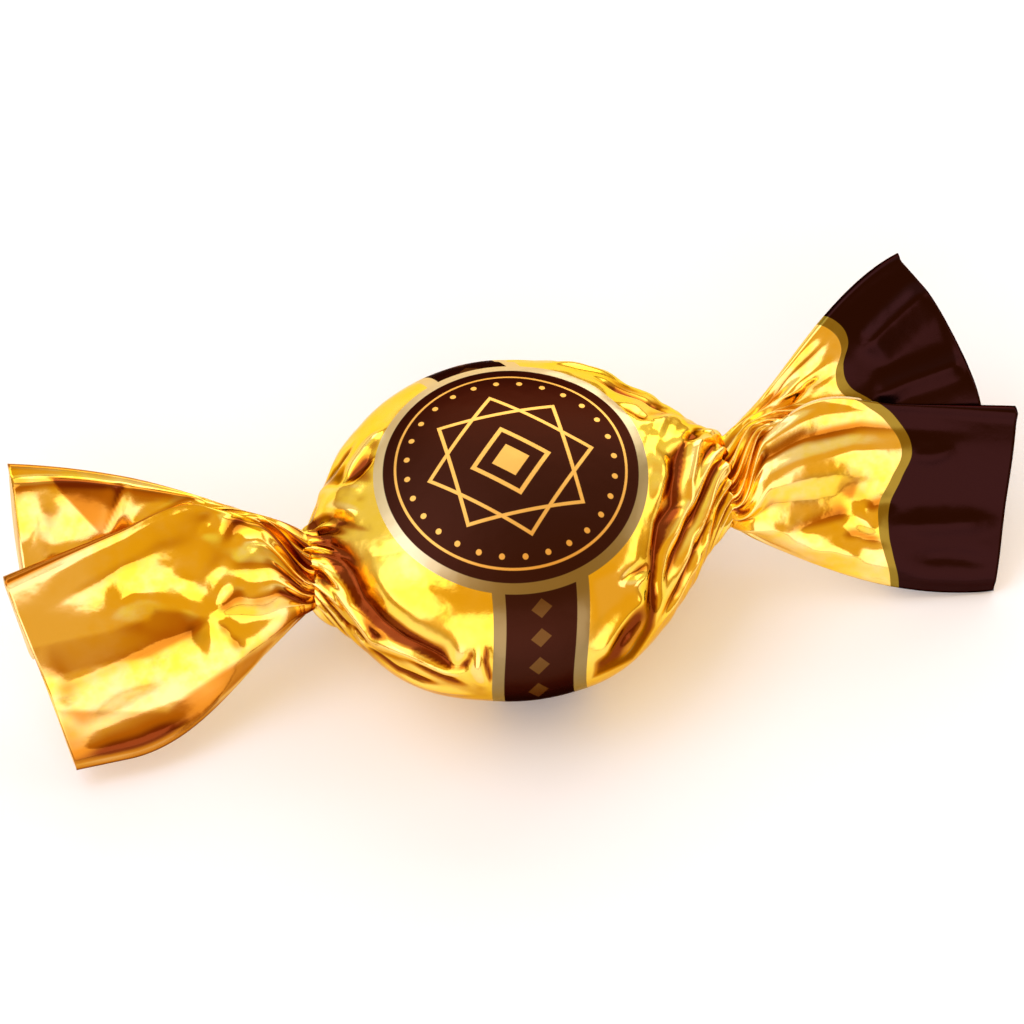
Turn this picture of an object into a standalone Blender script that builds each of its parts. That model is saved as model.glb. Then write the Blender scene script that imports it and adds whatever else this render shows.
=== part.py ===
"""Foil-wrapped caramel sweet, lying on its flat base with its printed side up.

One sheet of gold foil is rolled round a domed sweet, gathered and twisted at both ends, and each end spreads
into a flat fan with one deep lengthwise fold. Lengths are in metres. +X runs along the sweet from the left fan
to the right one, +Z is up, and the origin is the middle of the base, on the table.
"""

import math
import random
from dataclasses import dataclass

import bmesh
import bpy
import numpy as np

MM = 0.001

# The sweet under the foil: a dome that is round in plan, widest at the height of both necks.
DOME_RADIUS = 17.1 * MM
DOME_TOP = 18.5 * MM
WAIST_HEIGHT = 8.8 * MM
UNDERSIDE_DEPTH = 9.3 * MM
PLAN_POWER = 2.1
CROWN_POWER = 1.95
UNDERSIDE_POWER = 2.4

# The gathered necks, where the foil is twisted shut.
PULL_STATIONS = 60
TWIST = math.radians(160.0)
TWIST_BEFORE_NECK = 12.5 * MM
TWIST_PAST_NECK = 2.5 * MM

# The fans.
FOLD_FROM = 0.10
FOLD_TO = 0.60
ROOT_THICKNESS = 2.4 * MM
FOIL_WALL = 0.40 * MM
POCKET_FROM = 0.45
TABLE_CLEARANCE = 0.25 * MM

# Gathered pleats, counted in columns of the mesh, and the loose crinkle between them.
PLEAT_COLUMNS = (3, 4, 5, 6)
PLEAT_DEPTH = 1.0 * MM
CRINKLE = 0.10 * MM

# Mesh density.
COLUMNS = 64
BODY_RINGS = 15
TAIL_RINGS = 15
POCKET_RINGS = 7

GOLD = (0.87, 0.50, 0.09, 1.0)
GOLD_ROUGHNESS = 0.24


@dataclass(frozen=True)
class Layer:
    """One run of foil across a fan's mouth, in millimetres, each pair holding its two ends.

    across is measured along the fan, from its low front edge to its high back edge; level is the height above
    the fan's middle plane, and bow lifts the middle of the run; along is the distance from the neck to the
    foil's cut edge, and bulge moves the middle of that edge outwards.
    """

    across: tuple
    level: tuple
    along: tuple
    bow: float = 0.0
    bulge: float = 0.0

    def points(self, steps):
        """Points (across, level, along) along the run, without its last end."""
        shares = np.arange(steps) / steps
        hump = 4.0 * shares * (1.0 - shares)
        ends = [a + (b - a) * shares for a, b in (self.across, self.level, self.along)]
        return np.stack([ends[0], ends[1] + self.bow * hump, ends[2] + self.bulge * hump], axis=-1)


@dataclass(frozen=True)
class Fan:
    """One spread end of the wrapper.

    side is -1 for the left end and +1 for the right end. slack is how far the foil stands off the sweet next
    to the neck, and slack_towards is the direction in which it does. spread holds, for the front and the back
    half, the share of the length at which the fan is fully open and the power with which it opens.
    """

    side: int
    neck_x: float
    neck_radius: float
    slack: float
    slack_towards: float
    tilt: float
    spread: tuple
    layers: tuple
    ripples: tuple
    seed: int

    @property
    def length(self):
        """Length of the fan's longest edge, from the neck."""
        return max(max(layer.along) for layer in self.layers) * MM


LEFT_FAN = Fan(
    side=-1,
    neck_x=18.4 * MM,
    neck_radius=3.1 * MM,
    slack=0.9 * MM,
    slack_towards=math.radians(215.0),
    tilt=math.radians(31.0),
    spread=((0.80, 1.15), (1.60, 0.85)),
    layers=(
        Layer(across=(-13.1, 3.9), level=(0.7, 3.3), along=(23.9, 26.9), bow=0.6),
        Layer(across=(3.9, -2.4), level=(1.8, 1.5), along=(26.9, 26.0)),
        Layer(across=(-2.4, 13.9), level=(0.4, 0.6), along=(25.4, 24.3), bow=0.4),
        Layer(across=(13.9, -13.1), level=(-0.7, -0.7), along=(24.3, 23.9), bow=-1.7, bulge=1.0),
    ),
    ripples=((3, 0.30, 0.4), (7, 0.22, 2.1)),
    seed=5,
)

RIGHT_FAN = Fan(
    side=1,
    neck_x=19.8 * MM,
    neck_radius=3.5 * MM,
    slack=1.1 * MM,
    slack_towards=math.radians(60.0),
    tilt=math.radians(37.0),
    spread=((1.15, 0.85), (1.15, 1.20)),
    layers=(
        Layer(across=(-14.3, 0.9), level=(0.7, 3.1), along=(22.3, 27.0), bow=0.5),
        Layer(across=(0.9, -4.0), level=(1.6, 1.3), along=(27.0, 25.0)),
        Layer(across=(-4.0, 16.4), level=(0.2, 0.7), along=(23.6, 19.6), bow=1.1, bulge=1.3),
        Layer(across=(16.4, -14.3), level=(-0.7, -0.7), along=(19.6, 22.3), bow=-1.7, bulge=1.6),
    ),
    ripples=((3, 0.30, 1.9), (8, 0.20, 0.3)),
    seed=11,
)


def smooth_step(value):
    """Eases a share from 0 to 1, flat at both ends."""
    share = np.clip(value, 0.0, 1.0)
    return share * share * (3.0 - 2.0 * share)


def dome_distance(x, angle):
    """Distance from the lengthwise axis to the sweet's surface, in the section at x and in the given direction."""
    across = np.cos(angle)
    up = np.sin(angle)
    height = np.where(up > 0.0, DOME_TOP - WAIST_HEIGHT, UNDERSIDE_DEPTH)
    power = np.where(up > 0.0, CROWN_POWER, UNDERSIDE_POWER)
    low = np.zeros(np.broadcast(x, angle).shape)
    high = np.full_like(low, 1.5 * DOME_RADIUS)
    for _ in range(36):
        middle = 0.5 * (low + high)
        plan = np.hypot(x, middle * across) / DOME_RADIUS
        inside = plan**PLAN_POWER + (np.abs(middle * up) / height) ** power < 1.0
        low = np.where(inside, middle, low)
        high = np.where(inside, high, middle)
    return low


def foil_distance(fan, x, angle):
    """Distance from the lengthwise axis to the foil, which runs straight from the sweet to the neck."""
    stations = np.linspace(0.0, DOME_RADIUS, PULL_STATIONS)[:, None]
    slopes = (dome_distance(stations, angle[None, :]) - fan.neck_radius) / (fan.neck_x - stations)
    leaves = np.argmax(slopes, axis=0)
    straight = fan.neck_radius + slopes.max(axis=0) * (fan.neck_x - x)
    drawn = np.where(x > stations[leaves, 0], straight, dome_distance(x, angle))
    bulk = smooth_step(2.0 * x / fan.neck_x - 0.5) * np.clip(np.cos(angle - fan.slack_towards), 0.0, 1.0)
    return drawn + fan.slack * bulk


def material_angle(fan, columns, x):
    """Direction of each column of the foil in the section at x: the twist is spent just past the neck."""
    share = (x - fan.neck_x + TWIST_BEFORE_NECK) / (TWIST_BEFORE_NECK + TWIST_PAST_NECK)
    return math.pi - 2.0 * math.pi * columns + TWIST * (1.0 - smooth_step(share))


def body_ring(fan, columns, x):
    """Ring of the wrapper over the sweet, at the distance x from the middle."""
    angle = material_angle(fan, columns, x) + fan.tilt
    distance = foil_distance(fan, x, angle)
    return np.stack(
        [
            np.full_like(columns, x),
            distance * np.cos(angle),
            WAIST_HEIGHT + distance * np.sin(angle),
        ],
        axis=-1,
    )


def mouth_outline(fan, columns):
    """The fan's mouth as (across, level, along) for each column: its layers joined by half-round folds."""
    steps = 24
    turns = math.pi * np.arange(steps) / steps
    runs = []
    for layer, following in zip(fan.layers, fan.layers[1:] + fan.layers[:1]):
        gap = following.level[0] - layer.level[1]
        outward = math.copysign(0.5 * gap, layer.across[1] - layer.across[0])
        fold = [
            layer.across[1] + outward * np.sin(turns),
            layer.level[1] + 0.5 * gap * (1.0 - np.cos(turns)),
            layer.along[1] + (following.along[0] - layer.along[1]) * turns / math.pi,
        ]
        runs += [layer.points(steps), np.stack(fold, axis=-1)]
    outline = np.concatenate(runs + [runs[0][:1]])
    run = np.concatenate([[0.0], np.cumsum(np.hypot(*np.diff(outline[:, :2], axis=0).T))])
    return [MM * np.interp(columns, run / run[-1], outline[:, axis]) for axis in range(3)]


def opening(fan, side, share):
    """How far one half of the fan has opened at a share of its length; side is 0 for the front, 1 for the back."""
    full_at, power = fan.spread[side]
    half_width = abs(fan.layers[2 * side].across[side]) * MM
    root = fan.neck_radius / half_width
    rise = math.sin(0.5 * math.pi * min(1.0, share / full_at) ** power)
    return root + (1.0 - root) * rise / math.sin(0.5 * math.pi * min(1.0, 1.0 / full_at) ** power)


def tail_ring(fan, columns, share):
    """Ring of the fan at a share of the way from the neck to the mouth."""
    across, level, along = mouth_outline(fan, columns)
    turn = material_angle(fan, columns, fan.neck_x + share * fan.length)
    halves = [MM * abs(fan.layers[2 * side].across[side]) for side in (0, 1)]
    opened = [opening(fan, side, share) for side in (0, 1)]
    fan_across = across * np.where(across < 0.0, opened[0], opened[1])
    rope_across = np.cos(turn) * np.where(np.cos(turn) < 0.0, halves[0] * opened[0], halves[1] * opened[1])
    thickness = fan.neck_radius + (ROOT_THICKNESS - fan.neck_radius) * smooth_step(share / FOLD_TO)
    rope_level = thickness * np.sin(turn)
    folded = smooth_step((share - FOLD_FROM) / (FOLD_TO - FOLD_FROM))
    ring_across = rope_across + (fan_across - rope_across) * folded
    ring_level = rope_level + (level - rope_level) * folded
    return np.stack(
        [
            fan.neck_x + along * share,
            ring_across * math.cos(fan.tilt) - ring_level * math.sin(fan.tilt),
            WAIST_HEIGHT + ring_across * math.sin(fan.tilt) + ring_level * math.cos(fan.tilt),
        ],
        axis=-1,
    )


def surface_normals(rings):
    """Unit outward normals of a grid of rings that close on themselves."""
    along = np.gradient(rings, axis=0)
    around = np.roll(rings, -1, axis=1) - np.roll(rings, 1, axis=1)
    normals = np.cross(along, around)
    return normals / np.maximum(np.linalg.norm(normals, axis=-1, keepdims=True), 1e-12)


def pleat_relief(fan, columns, from_neck):
    """Height of the gathered pleats over the smooth foil; from_neck is negative over the sweet."""
    draw = random.Random(fan.seed)
    relief = np.zeros((len(from_neck), len(columns)))
    start = 0
    while start < COLUMNS:
        width = min(draw.choice(PLEAT_COLUMNS), COLUMNS - start)
        crest = start + width * draw.uniform(0.35, 0.65)
        over_sweet = draw.uniform(4.0, 13.0) * MM
        over_fan = draw.uniform(9.0, 25.0) * MM
        height = PLEAT_DEPTH * draw.uniform(0.6, 1.0)
        ridge = np.interp(columns * COLUMNS, (start, crest, start + width), (-0.45, 0.55, -0.45), left=0, right=0)
        length = np.where(from_neck < 0.0, over_sweet, over_fan)
        fade = smooth_step(1.0 - np.abs(from_neck) / length)
        relief += height * fade[:, None] * ridge[None, :]
        start += width
    return relief


def ripple_relief(fan, columns, shares):
    """Long soft waves that run from the neck to the mouth."""
    relief = np.zeros((len(shares), len(columns)))
    for waves, height, phase in fan.ripples:
        relief += height * MM * np.sin(2.0 * math.pi * waves * columns + phase)[None, :]
    return relief * smooth_step(np.clip(shares, 0.0, 1.0) * 1.6)[:, None]


def half_wrapper(fan):
    """Outer rings of one half of the wrapper, from the middle of the sweet to the mouth, and their normals."""
    columns = np.arange(COLUMNS) / COLUMNS
    body_x = fan.neck_x * np.sin(0.5 * math.pi * np.arange(BODY_RINGS) / BODY_RINGS)
    shares = (np.arange(TAIL_RINGS) / (TAIL_RINGS - 1)) ** 1.15
    rings = [body_ring(fan, columns, x) for x in body_x]
    rings += [tail_ring(fan, columns, share) for share in shares]
    rings = np.array(rings)
    normals = surface_normals(rings)
    from_neck = np.concatenate([body_x - fan.neck_x, shares * fan.length])
    tail_shares = np.concatenate([np.zeros(BODY_RINGS), shares])
    relief = pleat_relief(fan, columns, from_neck) + ripple_relief(fan, columns, tail_shares)
    draw = np.random.default_rng(fan.seed)
    loose = smooth_step(1.0 - np.abs(from_neck) / (14.0 * MM)) * np.where(from_neck > 0, 0.6, 1.0) + 0.25
    crinkle = draw.uniform(-1.0, 1.0, relief.shape) * CRINKLE * loose[:, None]
    crinkle[0] = 0.0
    rings = rings + (relief + crinkle)[..., None] * normals
    return rings, normals


def rest_on_table(rings, lowest):
    """Presses everything under the given height flat."""
    rings[..., 2] = np.maximum(rings[..., 2], lowest)
    return rings


def pocket_rings(rings, normals):
    """Rings of the hollow inside a fan, from its mouth down to where the foil closes up."""
    count = BODY_RINGS + TAIL_RINGS
    first = BODY_RINGS + int(POCKET_FROM * TAIL_RINGS)
    stations = range(count - 1, first, -max(1, (count - first) // POCKET_RINGS))
    inner = [rings[i] - FOIL_WALL * normals[i] for i in stations]
    return np.array(inner)


def add_rings(mesh, rings):
    """Adds closed rings of vertices, each joined to the one before it, and returns them."""
    made = [[mesh.verts.new(point) for point in ring] for ring in rings]
    for before, after in zip(made[:-1], made[1:]):
        join_rings(mesh, before, after)
    return made


def join_rings(mesh, before, after):
    """Fills the band between two rings, each four corners split along their shorter diagonal."""
    count = len(before)
    for i in range(count):
        j = (i + 1) % count
        if (before[i].co - after[j].co).length < (before[j].co - after[i].co).length:
            mesh.faces.new((before[i], after[j], before[j]))
            mesh.faces.new((before[i], after[i], after[j]))
        else:
            mesh.faces.new((before[i], after[i], before[j]))
            mesh.faces.new((before[j], after[i], after[j]))


def close_ring(mesh, ring):
    """Closes a ring, taken clockwise from outside, with triangles round its middle."""
    middle = sum((vertex.co for vertex in ring), ring[0].co * 0.0) / len(ring)
    pole = mesh.verts.new(middle)
    for i, vertex in enumerate(ring):
        mesh.faces.new((vertex, ring[(i + 1) % len(ring)], pole))


def gold_foil():
    """Gold metallised foil."""
    material = bpy.data.materials.new("gold_foil")
    material.use_nodes = True
    shader = material.node_tree.nodes["Principled BSDF"]
    shader.inputs["Base Color"].default_value = GOLD
    shader.inputs["Metallic"].default_value = 1.0
    shader.inputs["Roughness"].default_value = GOLD_ROUGHNESS
    return material


def wrapped_sweet():
    """The whole wrapped sweet as one closed solid."""
    halves = []
    for fan in (LEFT_FAN, RIGHT_FAN):
        rings, normals = half_wrapper(fan)
        inner = pocket_rings(rings, normals)
        rings[:BODY_RINGS] = rest_on_table(rings[:BODY_RINGS], 0.0)
        rings[BODY_RINGS:] = rest_on_table(rings[BODY_RINGS:], TABLE_CLEARANCE)
        inner = rest_on_table(inner, TABLE_CLEARANCE + FOIL_WALL)
        outline = np.concatenate([rings, inner])
        outline[..., 0] *= fan.side
        halves.append(outline)
    left, right = halves
    mesh = bmesh.new()
    made = add_rings(mesh, np.concatenate([left[:0:-1], right]))
    close_ring(mesh, made[0])
    close_ring(mesh, made[-1][::-1])
    data = bpy.data.meshes.new("wrapped_sweet")
    mesh.to_mesh(data)
    mesh.free()
    data.materials.append(gold_foil())
    data.shade_smooth()
    data.set_sharp_from_angle(angle=math.radians(30.0))
    sweet = bpy.data.objects.new("wrapped_sweet", data)
    bpy.context.scene.collection.objects.link(sweet)
    return sweet


def main():
    """Clears the scene and builds the wrapped sweet."""
    for leftover in list(bpy.data.objects):
        bpy.data.objects.remove(leftover)
    wrapped_sweet()


main()
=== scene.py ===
"""Looks of a foil-wrapped caramel sweet: thin crumpled gold foil, its print, and the studio.

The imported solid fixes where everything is. The foil is modelled again over it as three thin sheets, one over
the sweet and one for each spread end, which follow the same forms with much finer pleats, facets and dents.
Sizes are in millimetres until a mesh is finished, and in metres from there on.
"""

import functools
import logging
import math
import random
from dataclasses import dataclass, field
from enum import Enum
from typing import ClassVar

import bmesh
import bpy
import numpy as np
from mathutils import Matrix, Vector, geometry


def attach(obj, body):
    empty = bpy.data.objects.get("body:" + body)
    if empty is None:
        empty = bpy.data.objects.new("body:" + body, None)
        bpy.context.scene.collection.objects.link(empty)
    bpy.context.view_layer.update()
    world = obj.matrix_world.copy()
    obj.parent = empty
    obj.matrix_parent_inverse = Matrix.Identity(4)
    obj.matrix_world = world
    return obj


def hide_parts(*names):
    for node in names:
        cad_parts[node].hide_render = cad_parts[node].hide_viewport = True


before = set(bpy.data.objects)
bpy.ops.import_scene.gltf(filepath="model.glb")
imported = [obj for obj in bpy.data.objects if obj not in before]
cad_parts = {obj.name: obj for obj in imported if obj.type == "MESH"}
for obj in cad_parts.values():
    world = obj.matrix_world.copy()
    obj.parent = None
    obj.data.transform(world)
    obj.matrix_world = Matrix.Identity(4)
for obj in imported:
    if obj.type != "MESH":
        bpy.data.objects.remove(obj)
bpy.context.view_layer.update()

MM = 0.001
SOLID = "wrapped_sweet"
LOG = logging.getLogger("sweet")

# Grid steps over which creases are looked for, each with its weight.
CREASE_SCALES = ((1, 1.0), (2, 1.0), (4, 0.8), (8, 0.35))


def smooth_step(value: np.ndarray) -> np.ndarray:
    """Eases a share from 0 to 1, flat at both ends."""
    share = np.clip(value, 0.0, 1.0)
    return share * share * (3.0 - 2.0 * share)


def rise(value: np.ndarray, start: float, width: float) -> np.ndarray:
    """Eases from 0 at start to 1 at start + width, which may be the lesser of the two."""
    return smooth_step((value - start) / width)


def nearest_on(
    first: np.ndarray, second: np.ndarray, start: tuple[float, float], end: tuple[float, float]
) -> tuple[np.ndarray, np.ndarray, np.ndarray]:
    """Finds the point of a straight line that is nearest to each place.

    Args:
        first: first coordinate of each place.
        second: second coordinate of each place.
        start: the line's start.
        end: the line's end.

    Returns:
        The point's share of the way along the line, and the two steps from it to the place.
    """
    run, rise = end[0] - start[0], end[1] - start[1]
    share = ((first - start[0]) * run + (second - start[1]) * rise) / (run**2 + rise**2)
    clipped = np.clip(share, 0.0, 1.0)
    return clipped, first - start[0] - clipped * run, second - start[1] - clipped * rise


@dataclass(frozen=True)
class Dome:
    """The sweet under the foil: round in plan, widest at the height of both necks."""

    radius: float = 17.1
    top: float = 18.5
    waist: float = 8.8
    underside_depth: float = 9.3
    plan_power: float = 2.1
    crown_power: float = 1.95
    underside_power: float = 2.4
    bisections: int = 26

    def distance(self, x: np.ndarray, angle: np.ndarray) -> np.ndarray:
        """Measures from the lengthwise axis to the sweet's surface.

        Args:
            x: where the section is along the sweet.
            angle: direction in the section, from the back edge upwards.

        Returns:
            The distance for each pair of x and angle.
        """
        up = np.sin(angle)
        height = np.where(up > 0.0, self.top - self.waist, self.underside_depth)
        power = np.where(up > 0.0, self.crown_power, self.underside_power)
        low = np.zeros(np.broadcast(x, angle).shape)
        high = np.full_like(low, 1.5 * self.radius)
        for _ in range(self.bisections):
            middle = 0.5 * (low + high)
            plan = np.hypot(x, middle * np.cos(angle)) / self.radius
            inside = plan**self.plan_power + (np.abs(middle * up) / height) ** power < 1.0
            low = np.where(inside, middle, low)
            high = np.where(inside, high, middle)
        return low


@dataclass(frozen=True)
class Layer:
    """One run of foil across a fan's mouth, each pair holding its two ends.

    across is measured along the fan, from its low front edge to its high back edge. level is the height over
    the fan's middle plane, and bow lifts the middle of the run. along is the distance from the neck to the
    foil's cut edge, and bulge moves the middle of that edge outwards.
    """

    across: tuple[float, float]
    level: tuple[float, float]
    along: tuple[float, float]
    bow: float = 0.0
    bulge: float = 0.0

    def points(self, steps: int) -> np.ndarray:
        """Walks along the run.

        Args:
            steps: number of points.

        Returns:
            across, level and along of each point, without the run's last end.
        """
        shares = np.arange(steps) / steps
        hump = 4.0 * shares * (1.0 - shares)
        ends = [a + (b - a) * shares for a, b in (self.across, self.level, self.along)]
        return np.stack([ends[0], ends[1] + self.bow * hump, ends[2] + self.bulge * hump], axis=-1)


class FacetNet:
    """Heights of crumpled foil: random peaks and pits joined by flat triangles with sharp creases."""

    ROW_JITTER: ClassVar[float] = 0.45
    COLUMN_JITTER: ClassVar[float] = 0.42
    MARGIN_CELLS: ClassVar[float] = 3.0
    PITCH: ClassVar[float] = 0.12

    def __init__(self, seed: int, length: float, around: float, cell: float, stretch: float) -> None:
        """Scatters the net's points and joins them.

        Args:
            seed: seed of the random draws.
            length: length of the sheet, along the sweet.
            around: length of the sheet around the sweet, where the net closes on itself.
            cell: spacing of the points.
            stretch: how much longer the cells are along the sweet than around it.
        """
        draw = random.Random(seed)
        rows = max(3, round(length / (cell * stretch)))
        columns = max(4, round(around / cell))
        points, heights = [], []
        for row in range(-1, rows + 2):
            for column in range(columns):
                s = (row + draw.uniform(-self.ROW_JITTER, self.ROW_JITTER)) * length / rows
                shift = draw.uniform(-self.COLUMN_JITTER, self.COLUMN_JITTER)
                w = (column + 0.5 * (row % 2) + shift) * around / columns
                points.append((s, w % around))
                heights.append(draw.uniform(-1.0, 1.0))
        margin = self.MARGIN_CELLS * cell
        for (s, w), height in list(zip(points, heights)):
            if w < margin:
                points.append((s, w + around))
                heights.append(height)
            if w > around - margin:
                points.append((s, w - around))
                heights.append(height)
        flat = [Vector(point) for point in points]
        verts, _, faces, origins, _, _ = geometry.delaunay_2d_cdt(flat, [], [], 0, 1e-5)
        self.corners = np.array([tuple(vert) for vert in verts])
        self.heights = np.array([heights[origin[0]] for origin in origins])
        self.faces = np.array([tuple(face) for face in faces])
        self.length = length
        self.around = around
        self.raster = self._draw(round(length / self.PITCH) + 1, round(around / self.PITCH))

    def _draw(self, rows: int, columns: int) -> np.ndarray:
        """Draws the net's heights on an even grid that closes on itself around the sheet.

        Args:
            rows: rows of the grid, along the sheet.
            columns: columns of the grid, around the sheet.

        Returns:
            The height at each point of the grid.
        """
        s = np.linspace(0.0, self.length, rows)
        w = np.arange(columns) * self.around / columns
        out = np.zeros((rows, columns))
        for face in self.faces:
            a, b, c = self.corners[face]
            first, last = np.searchsorted(s, (min(a[0], b[0], c[0]), max(a[0], b[0], c[0])))
            left, right = np.searchsorted(w, (min(a[1], b[1], c[1]), max(a[1], b[1], c[1])))
            area = (b[0] - a[0]) * (c[1] - a[1]) - (c[0] - a[0]) * (b[1] - a[1])
            if first >= last or left >= right or abs(area) < 1e-9:
                continue
            down = s[first:last, None]
            over = w[None, left:right]
            wb = ((down - a[0]) * (c[1] - a[1]) - (c[0] - a[0]) * (over - a[1])) / area
            wc = ((b[0] - a[0]) * (over - a[1]) - (down - a[0]) * (b[1] - a[1])) / area
            wa = 1.0 - wb - wc
            inside = (wa >= -1e-9) & (wb >= -1e-9) & (wc >= -1e-9)
            height = wa * self.heights[face[0]] + wb * self.heights[face[1]] + wc * self.heights[face[2]]
            patch = out[first:last, left:right]
            patch[inside] = height[inside]
        return out

    def read(self, s: np.ndarray, w: np.ndarray) -> np.ndarray:
        """Reads the net's height.

        Args:
            s: distances along the sheet.
            w: distances around the sheet.

        Returns:
            The height at each place, from -1 to 1.
        """
        rows, columns = self.raster.shape
        down = np.clip(s / self.length, 0.0, 1.0) * (rows - 1)
        over = (w / self.around) % 1.0 * columns
        row = np.minimum(down.astype(int), rows - 2)
        column = over.astype(int) % columns
        beside = (column + 1) % columns
        a = down - row
        b = over - np.floor(over)
        upper = self.raster[row, column] * (1.0 - b) + self.raster[row, beside] * b
        lower = self.raster[row + 1, column] * (1.0 - b) + self.raster[row + 1, beside] * b
        return upper * (1.0 - a) + lower * a


@dataclass(frozen=True)
class Fold:
    """A crease pressed into the foil along a broken line, with a flank on each side.

    height is over 0 for a ridge and under 0 for a valley. flanks are the widths to the left and the right of
    the line, seen along it from outside the foil. fade is the share of the line over which each end runs
    out, and narrowest is the share of a flank's width that is left there. A valley of the depth darkest
    gets the full shade that is painted into valleys.
    """

    line: tuple[tuple[float, float], ...]
    height: float
    flanks: tuple[float, float]
    fade: float = 0.35
    narrowest: ClassVar[float] = 0.4
    flank_power: ClassVar[float] = 1.25
    darkest: ClassVar[float] = 0.6
    dark_power: ClassVar[float] = 1.5

    def shade(self, first: np.ndarray, second: np.ndarray) -> np.ndarray:
        """Gives the shade painted into the crease: only valleys get it, and deep ones the most."""
        depth = np.maximum(-self.relief(first, second), 0.0)
        return np.minimum(1.0, depth / self.darkest) ** self.dark_power

    def relief(self, first: np.ndarray, second: np.ndarray) -> np.ndarray:
        """Gives how far the foil moves out.

        Args:
            first: first coordinate of each place, in the plane in which the line is given.
            second: second coordinate of each place.

        Returns:
            The height at each place.
        """
        knots = np.array(self.line)
        runs = np.concatenate([[0.0], np.cumsum(np.hypot(*np.diff(knots, axis=0).T))])
        nearest = np.full(first.shape, 1e9)
        side = np.zeros(first.shape)
        reached = np.zeros(first.shape)
        for start, end, run, following in zip(knots, knots[1:], runs, runs[1:]):
            share, away0, away1 = nearest_on(first, second, start, end)
            away = np.hypot(away0, away1)
            closer = away < nearest
            nearest = np.where(closer, away, nearest)
            side = np.where(closer, (end[0] - start[0]) * away1 - (end[1] - start[1]) * away0, side)
            reached = np.where(closer, run + share * (following - run), reached)
        fade = smooth_step(np.minimum(reached, runs[-1] - reached) / (self.fade * runs[-1]))
        width = np.where(side > 0.0, self.flanks[0], self.flanks[1])
        width = width * (self.narrowest + (1.0 - self.narrowest) * fade)
        return self.height * fade * np.clip(1.0 - nearest / width, 0.0, 1.0) ** self.flank_power


@dataclass(frozen=True)
class PaintedLightPatch:
    """A facet of the foil with painted light: a polygon in the plane in which folds are given.

    depth is over 0 for painted shade and under 0 for a painted highlight.
    """

    corners: tuple[tuple[float, float], ...]
    depth: float
    soft: float = 0.35

    def shade(self, first: np.ndarray, second: np.ndarray) -> np.ndarray:
        """Gives the painted shade, or under 0 the painted highlight, that the facet puts at each place, eased
        over its border.

        Args:
            first: first coordinate of each place, in the plane in which the corners are given.
            second: second coordinate of each place.

        Returns:
            The shade at each place.
        """
        nearest = np.full(first.shape, 1e9)
        inside = np.zeros(first.shape, dtype=bool)
        for start, end in zip(self.corners, self.corners[1:] + self.corners[:1]):
            _, away0, away1 = nearest_on(first, second, start, end)
            nearest = np.minimum(nearest, np.hypot(away0, away1))
            if start[1] != end[1]:
                slope = (end[0] - start[0]) / (end[1] - start[1])
                crosses = (second < start[1]) != (second < end[1])
                inside ^= crosses & (first < start[0] + (second - start[1]) * slope)
        return self.depth * smooth_step(0.5 + 0.5 * np.where(inside, nearest, -nearest) / self.soft)


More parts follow.
